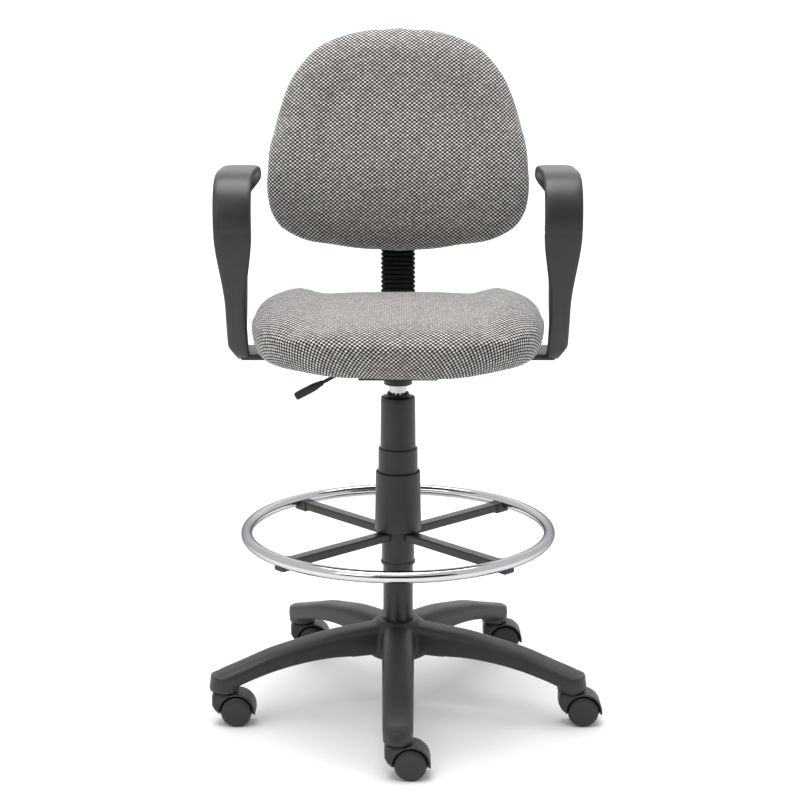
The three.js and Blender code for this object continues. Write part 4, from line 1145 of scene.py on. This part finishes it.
# %% The rear shell
SHELL_REAR, SHELL_FRONT = 17, 13
rear_side = [(share, SHELL_REAR) for share in (0.02, 0.3, 0.6, 0.85)]
rim_side = [(0.93, 16.6), (0.965, 14.8), (0.98, 11), (0.985, 5), (0.985, 2), (0.978, 1.2), (0.968, 2), (0.966, 8),
            (0.955, 11.5)]
front_side = [(share, SHELL_FRONT) for share in (0.93, 0.6, 0.3, 0.02)]
rim_path = np.array(rear_side + rim_side + front_side)
heading = np.linspace(0, TURN, 160, endpoint=False) + 0.001
radius = rim_path[:, :1] * back_reach(heading, SHELL_INSET)
x, w = radius * np.cos(heading), radius * np.sin(heading)
shell = stood_up(x, rim_path[:, 1:] + 0 * x, w)
piece("back_moulding", skin(shell), shell_plastic, "back", "polypropylene", "back_shell")


# %% [markdown]
# ## Hidden parts
#
# The parts inside keep their CAD shapes, which are right as they are, and get the finish of what they are
# made of.

# %% Finishes for the CAD parts
inner = {steel: ["thrust_bearing", "rod_clip", "valve_button", "lever_pin"], chrome: ["piston_rod"],
         acetal: ["guide_bush"], plywood: ["seat_board", "back_board"]}
inner[steel] += [f"caster_{number}_{part}" for number in range(1, LEGS + 1) for part in ("stem", "axle")]
for material, nodes in inner.items():
    for node in nodes:
        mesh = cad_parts[node].data
        mesh.materials.clear()
        mesh.materials.append(material)


# %% [markdown]
# ## The studio
#
# White paper runs over the floor and curves up into a wall, as in a product studio, in a white room.

# %% Floor and room
FLOOR_HALF, WALL_AT, WALL_ROUND, WALL_TOP = 7.0, 3.2, 1.6, 6.0
bend = np.linspace(0, np.pi / 2, 24)
curve = np.stack([WALL_AT + WALL_ROUND * np.sin(bend), WALL_ROUND * (1 - np.cos(bend))], -1)
run = np.concatenate([[[-FLOOR_HALF, 0]], curve, [[WALL_AT + WALL_ROUND, WALL_TOP]]])
across = np.array([-FLOOR_HALF, FLOOR_HALF])
sweep = np.stack(np.broadcast_arrays(across[None, :], run[:, :1], run[:, 1:]), -1).reshape(-1, 3)
strip = np.arange(len(run) - 1)[:, None] * 2 + np.array([0, 1, 3, 2])
floor = link("floor", mesh_of("floor", (sweep, strip, np.zeros((0, 3), int))))
paper, tree, shader = new_material("white paper")
shader.inputs["Base Color"].default_value = linear("#F4F4F4")
shader.inputs["Roughness"].default_value = 0.95
shader.inputs["Specular IOR Level"].default_value = 0.1
floor.data.materials.append(paper)
floor.data.shade_smooth()

# %% [markdown]
# Chrome in an all-white room looks white. A dark card stands across the room behind the camera and gives it
# bands to reflect. It is kept out of the camera's own sight.

# %% The dark card and the room's light
card_paint, tree, shader = new_material("card paint")
shader.inputs["Base Color"].default_value = linear("#1C1C1E")
shader.inputs["Roughness"].default_value = 0.9
CARD_HALF, CARD_AT, CARD_LOW, CARD_HIGH = 4, -4.7, 0.02, 3.1
corners = np.array([[-CARD_HALF, CARD_AT, CARD_LOW], [CARD_HALF, CARD_AT, CARD_LOW],
                    [CARD_HALF, CARD_AT, CARD_HIGH], [-CARD_HALF, CARD_AT, CARD_HIGH]], float)
card = link("card", mesh_of("card", (corners, np.array([[0, 1, 2, 3]]), np.zeros((0, 3), int))))
card.data.materials.append(card_paint)
card.visible_camera = False

world = bpy.data.worlds.new("studio")
world.use_nodes = True
world.node_tree.nodes["Background"].inputs["Color"].default_value = linear("#FFFFFF")
world.node_tree.nodes["Background"].inputs["Strength"].default_value = 0.8
bpy.context.scene.world = world


# %% [markdown]
# Three square lamps light the chair: a broad one overhead, a weak one in front, and a large one behind that
# washes the wall, so that the black parts stand out against it.

# %% Lights
def softbox(name, at, aim, size, watts):
    """A square lamp at a place in metres, turned to face another."""
    lamp = bpy.data.lights.new(name, "AREA")
    lamp.shape, lamp.size, lamp.energy = "SQUARE", size, watts
    made = bpy.data.objects.new(name, lamp)
    made.location = at
    made.rotation_euler = (Vector(aim) - Vector(at)).to_track_quat("-Z", "Y").to_euler()
    bpy.context.scene.collection.objects.link(made)


softbox("overhead", (-0.3, -0.5, 3.4), (0, 0.1, 0.6), 2.0, 62)
softbox("front", (-1.6, -2.6, 1.8), (0, 0, 0.6), 1.4, 12)
softbox("wall wash", (0, 1.2, 4.4), (0, 4.2, 1.4), 3.5, 150)

# %% [markdown]
# The camera stands at standing height in front of the chair and looks down at it a little, through a lens
# long enough to keep the legs in proportion.

# %% Camera
FOCAL_MM, SENSOR_MM = 77.14, 36
CAMERA_AT = np.array([0.0032, -2.7038, 1.1167])  # in metres from the foot of the column
LOOKS_DOWN = 12.49  # degrees below level
lens = bpy.data.cameras.new("camera")
lens.lens, lens.sensor_width = FOCAL_MM, SENSOR_MM
camera = bpy.data.objects.new("camera", lens)
camera.location = AXIS + CAMERA_AT
camera.rotation_euler = (np.radians(90 - LOOKS_DOWN), 0, 0)
bpy.context.scene.collection.objects.link(camera)
bpy.context.scene.camera = camera
bpy.context.scene.view_settings.view_transform = "Standard"
